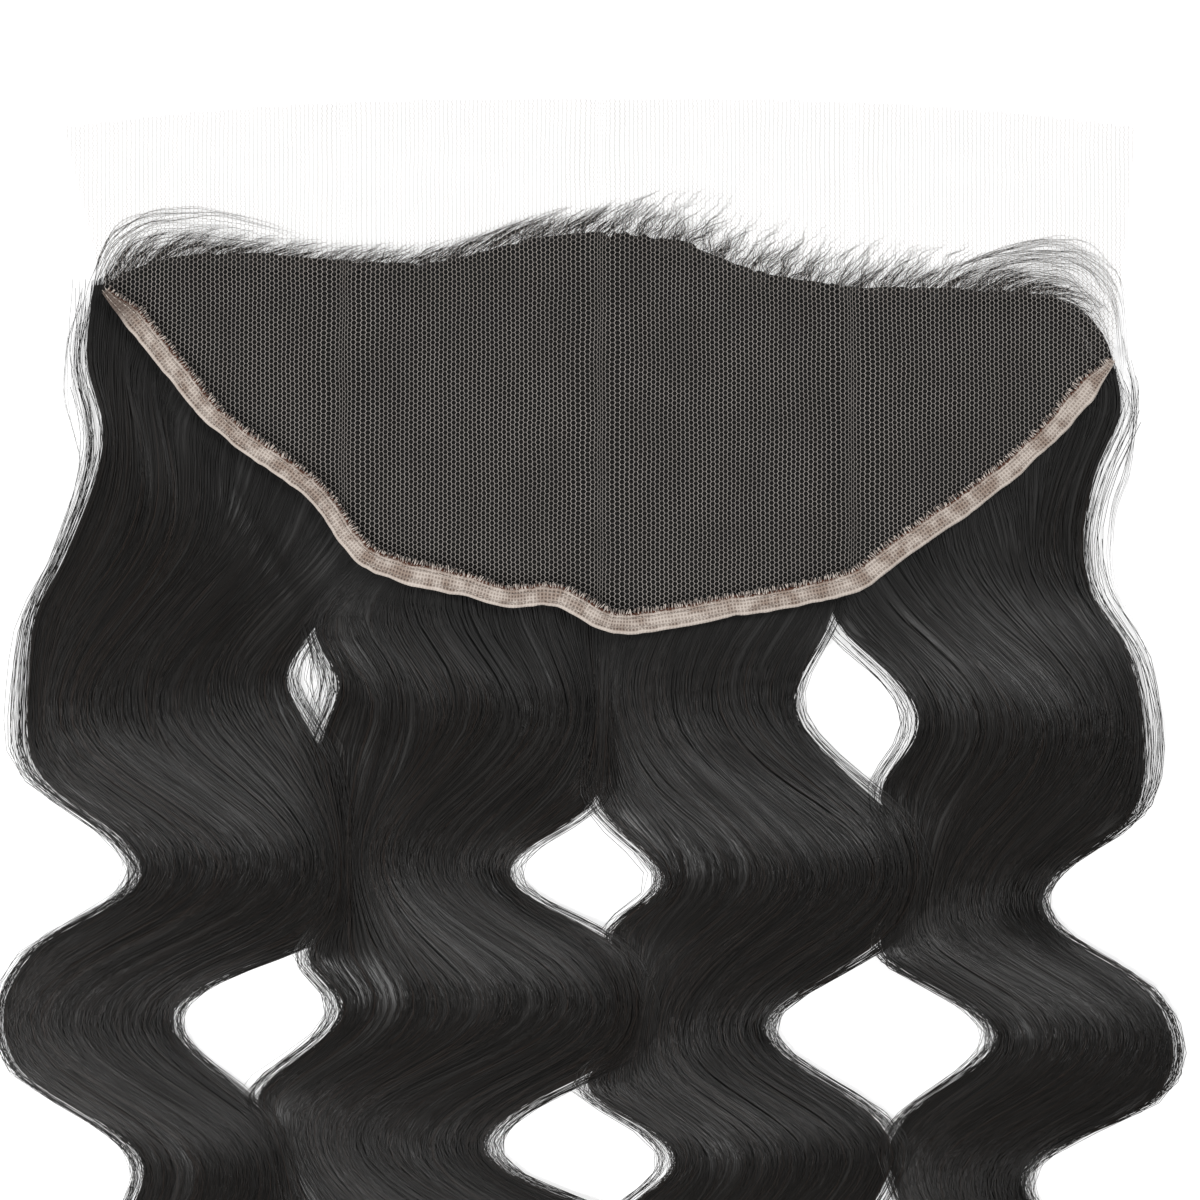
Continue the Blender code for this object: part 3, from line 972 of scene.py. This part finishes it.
def tape_material(settings):
    """Folded lace tape: beige layers of net, a pale fold and a painted red-brown shadow line inside."""
    material, hand, shader = new_material(
        "binding_tape", Roughness=0.85, Sheen_Weight=0.1, Specular_IOR_Level=0.2
    )
    tape, light, shade = settings.tape_colour, settings.tape_light, settings.tape_shade
    place = hand.node("ShaderNodeUVMap", uv_map="tape").outputs[0]
    run, inward = hand.node("ShaderNodeSeparateXYZ", place).outputs[:2]
    threads = []
    for direction, scale, unevenness in ("X", 0.29, 1.2), ("Y", 0.26, 1.6):
        bands = {"wave_type": "BANDS", "wave_profile": "SIN", "bands_direction": direction}
        wave = hand.node("ShaderNodeTexWave", place, scale, unevenness, 2.0, **bands)
        threads.append(wave.outputs["Fac"])
    weave = hand.math("MAXIMUM", hand.math("POWER", threads[0], 1.6), hand.times(threads[1], 0.8))
    patch = hand.rising(hand.noise(place, 0.16, 3.0), 0.38, 0.58)
    woven = hand.mixed(hand.times(weave, 0.9), hand.mixed(patch, shade, tape), light)
    brown = hand.mixed(hand.times(weave, 0.7), shade, settings.tape_brown)
    woven = hand.mixed(hand.math("MULTIPLY_ADD", patch, 0.75, 0.25), brown, woven)
    folded = hand.mixed(hand.rising(inward, 0.9, 0.3, 0.7), woven, light)
    bare_net = hand.mixed(hand.times(weave, 0.4), shade, tape)
    folded = hand.mixed(hand.rising(run, *BARE_NET_END), bare_net, folded)
    # A red-brown line along the ragged inner edge, below the frayed threads: a painted shadow line.
    ragged = hand.plus(inward, hand.times(hand.noise(place, 1.3, 2.0), 2.0))
    colour = hand.mixed(hand.rising(ragged, 6.7, 7.1), folded, settings.edge_shadow_colour)
    hand.feed(shader.inputs["Base Color"], colour)
    bumped(hand, shader, weave, 0.8, 0.15 * MM)
    return material


def thread_material(name, colour, shade):
    """Sewing or frayed thread, a little uneven in colour."""
    material, hand, shader = new_material(name, Roughness=0.8)
    patch = hand.noise(hand.node("ShaderNodeTexCoord").outputs["Object"], 900.0, 1.0)
    hand.feed(shader.inputs["Base Color"], hand.ramp(patch, [(0.35, shade), (0.65, colour)]))
    return material


def veil_plan(across, forward):
    """Places on the lace in plan: across its width, and forward from rear to front edge."""
    low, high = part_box("lace_base")
    rear_x = REAR_EDGE.x[0] + (REAR_EDGE.x[-1] - REAR_EDGE.x[0]) * across
    front_x = low.x + (high.x - low.x) * across
    rear_down = REAR_EDGE.at(rear_x) - 0.8 * MM
    front_down = FRONT_DOWN.at(front_x)
    x = rear_x + (front_x - rear_x) * forward
    down = rear_down + (front_down - rear_down) * forward
    return x, FRONT_Y - down


def lace_heights(x, y):
    """Height of the lace's upper face, from the nearest point of it past its edges."""
    flat_x = np.ravel(x)
    flat_y = np.ravel(y)
    heights = np.empty(flat_x.shape)
    for i in range(len(flat_x)):
        hit = hit_from(LACE_TREE, (flat_x[i], flat_y[i], ABOVE_ALL), (0, 0, -1))
        if hit is None:
            hit = LACE_TREE.find_nearest(Vector((flat_x[i], flat_y[i], 10 * MM)))[0]
        heights[i] = hit.z
    return heights.reshape(np.shape(x))


def veil_grid():
    forward, across = sheet_places(VEIL_ROWS, np.linspace(0.0, 1.0, VEIL_COLUMNS))
    x, y = veil_plan(across, forward)
    z = smoothed(lace_heights(x, y), 3) - VEIL_DEPTH
    return x, y, z


def veil_mesh(x, y, z):
    """The lace as a closed thin sheet, its UV map in millimetres."""
    rows, columns = x.shape
    upper = rows_of(x, y, z)
    lower = upper - (0.0, 0.0, VEIL_THICKNESS)
    count = len(upper)
    faces = [tuple(reversed(face)) for face in grid_faces(rows, columns)]
    faces += [tuple(count + corner for corner in face) for face in grid_faces(rows, columns)]
    border = list(range(columns))
    border += [r * columns + columns - 1 for r in range(1, rows)]
    border += [(rows - 1) * columns + c for c in range(columns - 2, -1, -1)]
    border += [r * columns for r in range(rows - 2, 0, -1)]
    for a, b in zip(border, border[1:] + border[:1]):
        faces.append((a, b, count + b, count + a))
    plan = rows_of(x / MM, y / MM)
    return closed_mesh("lace_veil", np.vstack([upper, lower]), faces, "weave", np.vstack([plan, plan]))


def net_growth():
    """A net of flat-topped hexagons dropped onto a sheet, with its misses taken away."""
    growth = GrowthTree(
        "hexagon_net",
        Float="Hole Side, Thread Width, Rung Width, Unevenness, Lift",
        Int="Columns, Rows",
        Vector="Centre",
    )
    given = growth.given
    side = given["Hole Side"]
    column_step = growth.times(side, 1.5)
    row_step = growth.times(side, math.sqrt(3.0))
    half_row = growth.times(row_step, 0.5)
    points = growth.node("GeometryNodePoints", growth.times(given["Columns"], given["Rows"])).outputs[0]
    index = growth.node("GeometryNodeInputIndex").outputs[0]
    column = growth.math("MODULO", index, given["Columns"])
    row = growth.math("FLOOR", growth.math("DIVIDE", index, given["Columns"]))
    odd = growth.math("MODULO", column, 2.0)
    x = growth.times(growth.minus(column, growth.times(given["Columns"], 0.5)), column_step)
    y = growth.minus(row, growth.times(given["Rows"], 0.5))
    y = growth.math("MULTIPLY_ADD", y, row_step, growth.times(odd, half_row))
    place = growth.vector_math("ADD", growth.vector(x, y), given["Centre"])
    points = growth.node("GeometryNodeSetPosition", points, None, place).outputs[0]

    def thread(start_x, start_y, end_x, end_y, width):
        length = growth.times(side, math.hypot(end_x - start_x, end_y - start_y))
        middle = growth.vector(
            growth.times(side, (start_x + end_x) / 2), growth.times(side, (start_y + end_y) / 2)
        )
        values = {
            "Geometry": growth.node("GeometryNodeMeshGrid", length, width, 2, 2).outputs[0],
            "Translation": middle,
            "Rotation": (0.0, 0.0, math.atan2(end_y - start_y, end_x - start_x)),
        }
        return growth.named("GeometryNodeTransform", values).outputs[0]

    half = math.sqrt(3.0) / 2
    joined = growth.node("GeometryNodeJoinGeometry")
    for piece in (
        thread(-0.5, half, 0.5, half, given["Rung Width"]),
        thread(-1.0, 0.0, -0.5, half, given["Thread Width"]),
        thread(-0.5, -half, -1.0, 0.0, given["Thread Width"]),
    ):
        growth.tree.links.new(piece, joined.inputs[0])
    cells = growth.named("GeometryNodeInstanceOnPoints", {"Points": points, "Instance": joined.outputs[0]})
    real = growth.node("GeometryNodeRealizeInstances", cells.outputs[0]).outputs[0]

    position = growth.node("GeometryNodeInputPosition").outputs[0]
    parts = growth.node("ShaderNodeSeparateXYZ", position).outputs
    x = parts[0]
    for fold in NET_FOLDS:
        off = growth.minus(parts[0], fold)
        share = growth.math("DIVIDE", off, NET_FOLD_WIDTH)
        bell = growth.math("EXPONENT", growth.times(growth.times(share, share), -1.0))
        x = growth.plus(x, growth.times(growth.times(off, bell), -NET_FOLD_CROWDING))
    wave = growth.node("ShaderNodeTexNoise", position, None, 45.0, 2.0).outputs["Color"]
    wave = growth.vector_math("SUBTRACT", wave, (0.5, 0.5, 0.5))
    wave = growth.node("ShaderNodeVectorMath", wave, operation="SCALE")
    growth.feed(wave.inputs["Scale"], given["Unevenness"])
    drawn = growth.vector_math("ADD", growth.vector(x, parts[1]), wave.outputs[0])
    source = growth.vector_math("MULTIPLY", drawn, (1.0, 1.0, 0.0))
    source = growth.vector_math("ADD", source, (0.0, 0.0, ABOVE_ALL))
    ray = growth.named(
        "GeometryNodeRaycast",
        {
            "Target Geometry": given["Geometry"],
            "Source Position": source,
            "Ray Direction": (0.0, 0.0, -1.0),
            "Ray Length": 1.0,
        },
    )
    lift = growth.vector(0.0, 0.0, given["Lift"])
    lifted = growth.vector_math("ADD", ray.outputs["Hit Position"], lift)
    missed = growth.node("FunctionNodeBooleanMath", ray.outputs["Is Hit"], operation="NOT").outputs[0]
    kept = growth.store(real, "missed", missed, "POINT")
    laid = growth.node("GeometryNodeSetPosition", kept, None, lifted).outputs[0]
    missed = growth.node("GeometryNodeInputNamedAttribute", "missed", data_type="FLOAT").outputs[0]
    cut = growth.node("GeometryNodeDeleteGeometry", laid, growth.math("GREATER_THAN", missed, 0.5))
    growth.finish(cut.outputs[0])
    return growth


class TapePath:
    """The tape's rear edge in even steps, with the direction in towards the lace."""

    def __init__(self):
        x = np.linspace(REAR_EDGE.x[0], REAR_EDGE.x[-1], 1200)
        y = FRONT_Y - REAR_EDGE.at(x)
        run = np.concatenate([[0.0], np.cumsum(np.hypot(np.diff(x), np.diff(y)))])
        self.length = run[-1]
        self.run = np.linspace(0.0, self.length, TAPE_SECTIONS + 1)
        self.x = np.interp(self.run, run, x)
        self.y = np.interp(self.run, run, y)
        dx = np.gradient(Profile(self.run, self.x, smoothing=8).value)
        dy = np.gradient(Profile(self.run, self.y, smoothing=8).value)
        size = np.hypot(dx, dy)
        self.in_x = -dy / size
        self.in_y = dx / size
        share = self.run / self.length
        uneven = soft_noise(np.random.default_rng(17), share, share * 0, 22, 1)
        from_end = np.minimum(self.run, self.length - self.run)
        self.width = (0.35 + 0.65 * smoothstep(from_end / TAPE_END)) * (1.0 + 0.1 * uneven)

    def plan(self, inward):
        """Places beside the rear edge, at a distance that shrinks where the tape is narrow."""
        reach = inward * self.width
        return self.x + self.in_x * reach, self.y + self.in_y * reach


def tape_heights(x, y):
    """Height of the top of the tape, or of the lace where the tape has ended."""
    lace = lace_heights(x, y) + 1.1 * MM
    return np.maximum(heights_over(TAPE_TREE, x, y, 0.0, 0.0), lace)


def tape_mesh(path, seed):
    """The tape as a closed strip with a rolled lower edge, small puckers and soft edges."""
    rng = np.random.default_rng(seed)
    inward_line = np.array([-0.25, 0.0, 0.35, 0.8, 1.2, 1.8, 2.6, 3.5, 4.4, 5.2, 5.9, 6.4, 6.8]) * MM
    rise_line = np.array([-0.75, -0.1, 0.25, 0.2, 0.0, -0.05, 0.0, 0.0, 0.0, -0.05, -0.1, -0.35, -0.9]) * MM
    columns = len(inward_line)
    rows = TAPE_SECTIONS + 1
    share = path.run / path.length
    zero = share * 0
    sway = 0.35 * MM * soft_noise(rng, share, zero, 60, 1) + 0.2 * MM * soft_noise(rng, share, zero, 160, 1)
    pucker = 0.18 * MM * soft_noise(rng, share, zero, 110, 1)
    middle_x, middle_y = path.plan(0.5 * TAPE_WIDTH)
    level = Profile(path.run, tape_heights(middle_x, middle_y), smoothing=6).value
    rows_points = []
    uvs = []
    for c in range(columns):
        edge_share = abs(inward_line[c] / TAPE_WIDTH - 0.5) * 2
        x, y = path.plan(inward_line[c] + sway * (0.4 + 0.6 * edge_share))
        z = level + rise_line[c] + pucker * (1 - 0.5 * edge_share)
        rows_points.append(np.stack([x, y, z], axis=1))
        uvs.append(np.stack([path.run / MM, np.full(rows, inward_line[c] / MM)], axis=1))
    top = np.stack(rows_points, axis=1).reshape(-1, 3)
    uv = np.stack(uvs, axis=1).reshape(-1, 2)
    under = top.reshape(rows, columns, 3)[:, [0, columns - 1]].copy()
    under[:, :, 2] -= 0.15 * MM
    count = len(top)
    faces = grid_faces(rows, columns)
    for r in range(rows - 1):
        a = count + 2 * r
        faces.append((r * columns, (r + 1) * columns, a + 2, a))
        faces.append((r * columns + columns - 1, (r + 1) * columns + columns - 1, a + 3, a + 1))
        faces.append((a, a + 2, a + 3, a + 1))
    for r in (0, rows - 1):
        a = count + 2 * r
        faces.append(tuple(r * columns + c for c in range(columns)) + (a + 1, a))
    under_uv = uv.reshape(rows, columns, 2)[:, [0, columns - 1]].reshape(-1, 2)
    points = np.vstack([top, under.reshape(-1, 3)])
    return closed_mesh("binding_tape", points, faces, "tape", np.vstack([uv, under_uv])), level


def line_object(name, points):
    """A bare chain of edges for a tree to follow."""
    mesh = bpy.data.meshes.new(name)
    mesh.from_pydata([tuple(p) for p in points], [(k, k + 1) for k in range(len(points) - 1)], [])
    return new_object(name, mesh)


def thread_growth(name, across_path):
    """Short threads along a path: stitches that lie along it, or tufts that stand across it."""
    growth = GrowthTree(name, Float="Spacing, Thread Length, Thread Radius, Scatter, Turn", Int="Seed")
    given = growth.given
    curve = growth.node("GeometryNodeMeshToCurve", given["Geometry"]).outputs[0]
    spots = growth.node("GeometryNodeCurveToPoints", curve, mode="LENGTH")
    growth.feed(spots.inputs["Length"], given["Spacing"])
    index = growth.node("GeometryNodeInputIndex").outputs[0]
    reach = given["Scatter"]
    back = growth.times(reach, -1.0)
    jitter = growth.vector(
        growth.random(back, reach, index, 0),
        growth.random(back, reach, index, 1),
        growth.times(growth.random(0.0, reach, index, 2), 0.3),
    )
    moved = growth.node("GeometryNodeSetPosition", spots.outputs["Points"], None, None, jitter).outputs[0]
    twist = growth.random(growth.times(given["Turn"], -1.0), given["Turn"], index, 3)
    if across_path:
        twist = growth.plus(twist, math.pi / 2)
    tangent = growth.node("ShaderNodeSeparateXYZ", spots.outputs["Tangent"]).outputs
    heading = growth.math("ARCTAN2", tangent[1], tangent[0])
    turned = growth.vector(0.0, 0.0, growth.plus(heading, twist))
    sizes = {"Radius": given["Thread Radius"], "Depth": given["Thread Length"]}
    thread = growth.named("GeometryNodeMeshCylinder", {"Vertices": 4, "Side Segments": 1, **sizes})
    level = {"Geometry": thread.outputs[0], "Rotation": (0.0, math.pi / 2, 0.0)}
    values = {
        "Points": moved,
        "Instance": growth.named("GeometryNodeTransform", level).outputs[0],
        "Rotation": growth.node("FunctionNodeEulerToRotation", turned).outputs[0],
        "Scale": growth.vector(growth.random(0.6, 1.3, index, 4), 1.0, 1.0),
    }
    spread = growth.named("GeometryNodeInstanceOnPoints", values).outputs[0]
    real = growth.node("GeometryNodeRealizeInstances", spread).outputs[0]
    growth.finish(growth.node("GeometryNodeSetShadeSmooth", real).outputs[0])
    return growth


def aimed_light(name, place, size, power):
    """A square white light that points at the middle of the piece."""
    light = bpy.data.lights.new(name, "AREA")
    light.shape = "SQUARE"
    light.size = size
    light.energy = power
    thing = new_object(name, light)
    thing.location = place
    thing.rotation_euler = (Vector(LIT_PLACE) - Vector(place)).to_track_quat("-Z", "Y").to_euler()


def length_property(name, description, millimetres):
    return bpy.props.FloatProperty(
        name=name, description=description, default=millimetres * MM, subtype="DISTANCE", unit="LENGTH"
    )


def count_property(name, description, default, most):
    return bpy.props.IntProperty(name=name, description=description, default=default, min=2, max=most)


def strength_property(name, description, default, most, subtype="NONE"):
    return bpy.props.FloatProperty(
        name=name, description=description, default=default, min=0.0, max=most, subtype=subtype
    )


def colour_property(name, description, default):
    return bpy.props.FloatVectorProperty(
        name=name, description=description, default=default, size=3, min=0.0, max=1.0, subtype="COLOR"
    )


class HairSettings(bpy.types.PropertyGroup):
    """Sizes and colours of the hair."""

    strand_count: count_property("Strands", "Hairs laid over each lock", 560, 700)
    strand_radius: length_property("Strand Radius", "Radius of a laid hair", 0.115)
    edge_hair_count: count_property("Edge Hairs", "Loose hairs beside each lock", 64, 200)
    edge_hair_radius: length_property("Edge Hair Radius", "Radius of a loose hair beside a lock", 0.10)
    root_count: count_property("Roots", "Thicker short hairs at the foot of the hairline", 1800, 3000)
    root_radius: length_property("Root Radius", "Radius of a short hair at the hairline's foot", 0.12)
    wisp_count: count_property("Wisps", "Fine short hairs along the hairline", 1100, 3000)
    wisp_radius: length_property("Wisp Radius", "Radius of a fine short hair", 0.065)
    hair_colour: colour_property("Hair", "Main colour of the hair", (0.0085, 0.0075, 0.0066))
    warm_colour: colour_property("Warm Hairs", "Colour of the brownest hairs", (0.028, 0.017, 0.012))


class LaceSettings(bpy.types.PropertyGroup):
    """Sizes and colours of the lace."""

    hole_side: length_property("Hole Side", "Side of a hexagon of the net", 0.913)
    thread_width: length_property("Thread", "Width of the upright threads", 0.17)
    rung_width: length_property("Rung", "Width of the level threads", 0.07)
    thread_opacity: strength_property("Thread Opacity", "How solid a thread looks", 0.85, 1.0, "FACTOR")
    haze_opacity: strength_property("Haze Opacity", "How solid finer threads look", 0.004, 1.0, "FACTOR")
    thread_colour: colour_property("Thread", "Colour of the nylon", (0.365, 0.335, 0.312))


class BindingSettings(bpy.types.PropertyGroup):
    """Sizes and colours of the tape."""

    tape_colour: colour_property("Tape", "Main colour of the tape", (0.25, 0.205, 0.175))
    tape_light: colour_property("Tape Threads", "Colour of its bright threads", (0.545, 0.482, 0.432))
    tape_shade: colour_property("Tape Shade", "Colour between its threads", (0.075, 0.052, 0.042))
    tape_brown: colour_property("Tape Patches", "Colour of its brownish patches", (0.32, 0.225, 0.17))
    # Colour of the painted shadow line along the tape's inner edge.
    edge_shadow_colour: colour_property("Knots", "Red-brown line along the inner edge", (0.07, 0.022, 0.010))
    tuft_spacing: length_property("Tufts", "Distance between frayed threads", 0.7)
    stitch_spacing: length_property("Stitches", "Distance between stitches", 2.0)


class StudioSettings(bpy.types.PropertyGroup):
    """The floor and the light."""

    floor_colour: colour_property("Floor", "Colour of the floor", (0.58, 0.58, 0.58))
    floor_glow: strength_property("Floor Glow", "Light that the floor gives of itself", 0.5, 2.0)
    key_power: strength_property("Key", "Power of the main light", 42.0, 500.0, "POWER")
    fill_power: strength_property("Fill", "Power of the opposite light", 19.0, 500.0, "POWER")
    sky: strength_property("Sky", "Strength of the light all round", 0.25, 2.0)


class HAIRPIECE_OT_lock_bodies(bpy.types.Operator):
    """Builds the massed hair of the four locks"""

    bl_idname = "hairpiece.lock_bodies"
    bl_label = "Lock Bodies"

    def execute(self, context):
        settings = context.scene.hairpiece_hair
        material = lock_material(settings, "massed_hair", 1.0, 0.42, 0.5)
        # A darker, less glossy copy of the massed hair for under the lace: painted shade of the net.
        shaded = lock_material(settings, "hair_in_painted_lace_shade", 0.7, 0.6, 0.16)
        for seed, flow in enumerate(FLOWS):
            body = new_object(flow.name + "_body", lock_body_mesh(flow, seed + 11))
            body.data.materials.append(material)
            body.data.materials.append(shaded)
            keep_piece(body)
            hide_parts(flow.name)
        return {"FINISHED"}


class HAIRPIECE_OT_strands(bpy.types.Operator):
    """Lays single hairs over the four locks, and loose ones along their sides"""

    bl_idname = "hairpiece.strands"
    bl_label = "Strands"

    def execute(self, context):
        settings = context.scene.hairpiece_hair
        growth = strand_growth()
        shared = {
            "Points": 40,
            "Clumps": 9.0,
            "Shortest": 0.93,
            "Longest": 1.0,
            "Tip Share": 0.35,
            "Material": strand_material(settings, "hair_strands", 1.0, 0.13),
        }
        laid = {
            "Count": settings.strand_count,
            "Radius": settings.strand_radius,
            "Across From": -0.008,
            "Across To": 1.008,
            "Start Spread": 0.012,
            "Lock Wander": 0.16,
            "Hair Wander": 0.035,
            "Edge Freedom": 0.10,
            "Lift": 0.45 * MM,
        }
        loose = {
            "Count": settings.edge_hair_count,
            "Radius": settings.edge_hair_radius,
            "Across From": -0.062,
            "Across To": 0.0,
            "Start Spread": 0.45,
            "Lock Wander": 0.07,
            "Hair Wander": 0.15,
            "Edge Freedom": 1.0,
            "Lift": 0.7 * MM,
        }
        for number, flow in enumerate(FLOWS):
            for ending, values, seed in ("_strands", laid, 21), ("_edge_hairs", loose, 61):
                guide = lock_guide(flow, flow.name + ending)
                grown(guide, growth, {**shared, **values, "Seed": seed + number * 10})
        return {"FINISHED"}


class HAIRPIECE_OT_loose_hairs(bpy.types.Operator):
    """Lays the hairline's short hairs and the loose hairs at the sides and openings"""

    bl_idname = "hairpiece.loose_hairs"
    bl_label = "Loose Hairs"

    def execute(self, context):
        settings = context.scene.hairpiece_hair
        growth = strand_growth()
        shared = {
            "Across From": 0.0,
            "Across To": 1.0,
            "Edge Freedom": 1.0,
            "Lift": 0.3 * MM,
            "Tip Share": 0.2,
            "Material": strand_material(settings, "fine_hairs", 1.1, 0.3),
        }
        short = {**shared, "Points": 7, "Clumps": 75.0, "Lock Wander": 0.022, "Hair Wander": 0.02}
        roots = {
            "Count": settings.root_count,
            "Radius": settings.root_radius,
            "Start Spread": 0.34,
            "Shortest": 0.22,
            "Longest": 0.44,
            "Seed": 3,
        }
        grown(wisp_guide("hairline_roots"), growth, {**short, **roots})
        wisps = {
            "Count": settings.wisp_count,
            "Radius": settings.wisp_radius,
            "Start Spread": 0.6,
            "Shortest": 0.2,
            "Longest": 0.48,
            "Seed": 5,
        }
        grown(wisp_guide("hairline_wisps"), growth, {**short, **wisps})
        long = {
            **shared,
            "Points": 22,
            "Clumps": 5.0,
            "Start Spread": 0.3,
            "Shortest": 0.4,
            "Longest": 0.95,
            "Lock Wander": 0.2,
            "Hair Wander": 0.5,
        }
        for number, bundle in enumerate(LOOSE_BUNDLES):
            own = {"Count": bundle.count, "Radius": bundle.radius * MM, "Seed": 101 + number * 10}
            grown(bundle_guide(bundle), growth, {**long, **own})
        return {"FINISHED"}


class HAIRPIECE_OT_lace(bpy.types.Operator):
    """Builds the lace: a thin sheet with a hexagonal net on it"""

    bl_idname = "hairpiece.lace"
    bl_label = "Lace"

    def execute(self, context):
        settings = context.scene.hairpiece_lace
        x, y, z = veil_grid()
        veil = new_object("lace_veil", veil_mesh(x, y, z))
        veil.data.materials.append(veil_material(settings))
        keep_piece(veil)
        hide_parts("lace_base")
        net = new_object("lace_net", mesh_from("lace_net", rows_of(x, y, z), grid_faces(*x.shape)))
        low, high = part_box("lace_base")
        row_step = math.sqrt(3.0) * settings.hole_side
        values = {
            "Hole Side": settings.hole_side,
            "Thread Width": settings.thread_width,
            "Rung Width": settings.rung_width,
            "Columns": math.ceil((high.x - low.x) / (1.5 * settings.hole_side)) + 2,
            "Rows": math.ceil((high.y - low.y) / row_step) + 2,
            "Centre": ((low.x + high.x) / 2, (low.y + high.y) / 2, 0.0),
            "Unevenness": 1.2 * MM,
            "Lift": NET_LIFT,
            "Material": net_material(settings),
        }
        grown(net, net_growth(), values)
        return {"FINISHED"}


class HAIRPIECE_OT_binding(bpy.types.Operator):
    """Builds the tape along the rear edge, with its stitches and frayed threads"""

    bl_idname = "hairpiece.binding"
    bl_label = "Binding"

    def execute(self, context):
        settings = context.scene.hairpiece_binding
        path = TapePath()
        mesh, level = tape_mesh(path, 7)
        tape = new_object("binding_tape", mesh)
        tape.data.materials.append(tape_material(settings))
        keep_piece(tape)
        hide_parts("edge_binding")
        light = settings.tape_light
        stitch = {
            "Spacing": settings.stitch_spacing,
            "Thread Length": 1.5 * MM,
            "Thread Radius": 0.13 * MM,
            "Scatter": 0.08 * MM,
            "Turn": 0.12,
            "Material": thread_material("sewing_thread", light, settings.tape_colour),
        }
        stitching = thread_growth("stitches_on_path", across_path=False)
        for row, inward in enumerate(STITCH_ROWS):
            line = rows_of(*path.plan(inward), level + 0.12 * MM)
            stitches = line_object("tape_stitches_%d" % (row + 1), line)
            grown(stitches, stitching, {**stitch, "Seed": 31 + row})
        tuft = {
            "Spacing": settings.tuft_spacing,
            "Thread Length": 1.9 * MM,
            "Thread Radius": 0.19 * MM,
            "Scatter": 0.35 * MM,
            "Turn": 0.4,
            "Material": thread_material("frayed_thread", light, settings.tape_shade),
            "Seed": 41,
        }
        line = rows_of(*path.plan(TAPE_WIDTH + 0.5 * MM), level - 0.25 * MM)
        tufting = thread_growth("tufts_on_path", across_path=True)
        grown(line_object("tape_tufts", line), tufting, tuft)
        return {"FINISHED"}


class HAIRPIECE_OT_studio(bpy.types.Operator):
    """Sets the floor, the lights and the camera, which looks straight down"""

    bl_idname = "hairpiece.studio"
    bl_label = "Studio"

    def execute(self, context):
        settings = context.scene.hairpiece_studio
        white = (1.0, 1.0, 1.0, 1.0)
        half = FLOOR_WIDTH / 2
        corners = [(-half, -half, 0), (half, -half, 0), (half, half, 0), (-half, half, 0)]
        floor = new_object("floor", mesh_from("floor", corners, [(0, 1, 2, 3)]))
        material, hand, shader = new_material(
            "white_paper",
            Roughness=0.9,
            Specular_IOR_Level=0.1,
            Emission_Color=white,
            Emission_Strength=settings.floor_glow,
        )
        grain = hand.noise(hand.node("ShaderNodeTexCoord").outputs["Object"], 300.0, 3.0)
        bright = settings.floor_colour
        hand.feed(shader.inputs["Base Color"], hand.ramp(grain, [(0.3, times(bright, 0.99)), (0.7, bright)]))
        floor.data.materials.append(material)

        aimed_light("key_light", KEY_PLACE, KEY_SIZE, settings.key_power)
        aimed_light("fill_light", FILL_PLACE, FILL_SIZE, settings.fill_power)
        world = bpy.data.worlds.new("studio")
        world.use_nodes = True
        background = world.node_tree.nodes["Background"]
        background.inputs["Color"].default_value = white
        background.inputs["Strength"].default_value = settings.sky
        context.scene.world = world
        context.scene.view_settings.view_transform = "Standard"

        lens = bpy.data.cameras.new("camera")
        lens.sensor_width = SENSOR_WIDTH
        lens.lens = SENSOR_WIDTH * CAMERA_HEIGHT / VIEW_WIDTH
        lens.clip_start = 0.01
        lens.clip_end = 20.0
        camera = new_object("camera", lens)
        camera.location = (*VIEW_MIDDLE, CAMERA_HEIGHT)
        context.scene.camera = camera
        return {"FINISHED"}


OPERATORS = (
    HAIRPIECE_OT_lock_bodies,
    HAIRPIECE_OT_strands,
    HAIRPIECE_OT_loose_hairs,
    HAIRPIECE_OT_lace,
    HAIRPIECE_OT_binding,
    HAIRPIECE_OT_studio,
)
SETTINGS = (
    ("hairpiece_hair", HairSettings),
    ("hairpiece_lace", LaceSettings),
    ("hairpiece_binding", BindingSettings),
    ("hairpiece_studio", StudioSettings),
)


class HAIRPIECE_PT_panel(bpy.types.Panel):
    """Lists the pieces and their sizes"""

    bl_idname = "HAIRPIECE_PT_panel"
    bl_label = "Hairpiece"
    bl_space_type = "VIEW_3D"
    bl_region_type = "UI"
    bl_category = "Hairpiece"

    def draw(self, context):
        layout = self.layout
        for key, group in SETTINGS:
            box = layout.box()
            values = getattr(context.scene, key)
            for name in group.__annotations__:
                box.prop(values, name)
        for operator in OPERATORS:
            layout.operator(operator.bl_idname)


def register():
    for key, group in SETTINGS:
        bpy.utils.register_class(group)
        setattr(bpy.types.Scene, key, bpy.props.PointerProperty(type=group))
    for operator in OPERATORS:
        bpy.utils.register_class(operator)
    bpy.utils.register_class(HAIRPIECE_PT_panel)


def unregister():
    bpy.utils.unregister_class(HAIRPIECE_PT_panel)
    for operator in reversed(OPERATORS):
        bpy.utils.unregister_class(operator)
    for key, group in reversed(SETTINGS):
        delattr(bpy.types.Scene, key)
        bpy.utils.unregister_class(group)


def main():
    register()
    bpy.ops.hairpiece.lock_bodies()
    bpy.ops.hairpiece.strands()
    bpy.ops.hairpiece.loose_hairs()
    bpy.ops.hairpiece.lace()
    bpy.ops.hairpiece.binding()
    bpy.ops.hairpiece.studio()


if __name__ == "__main__":
    main()
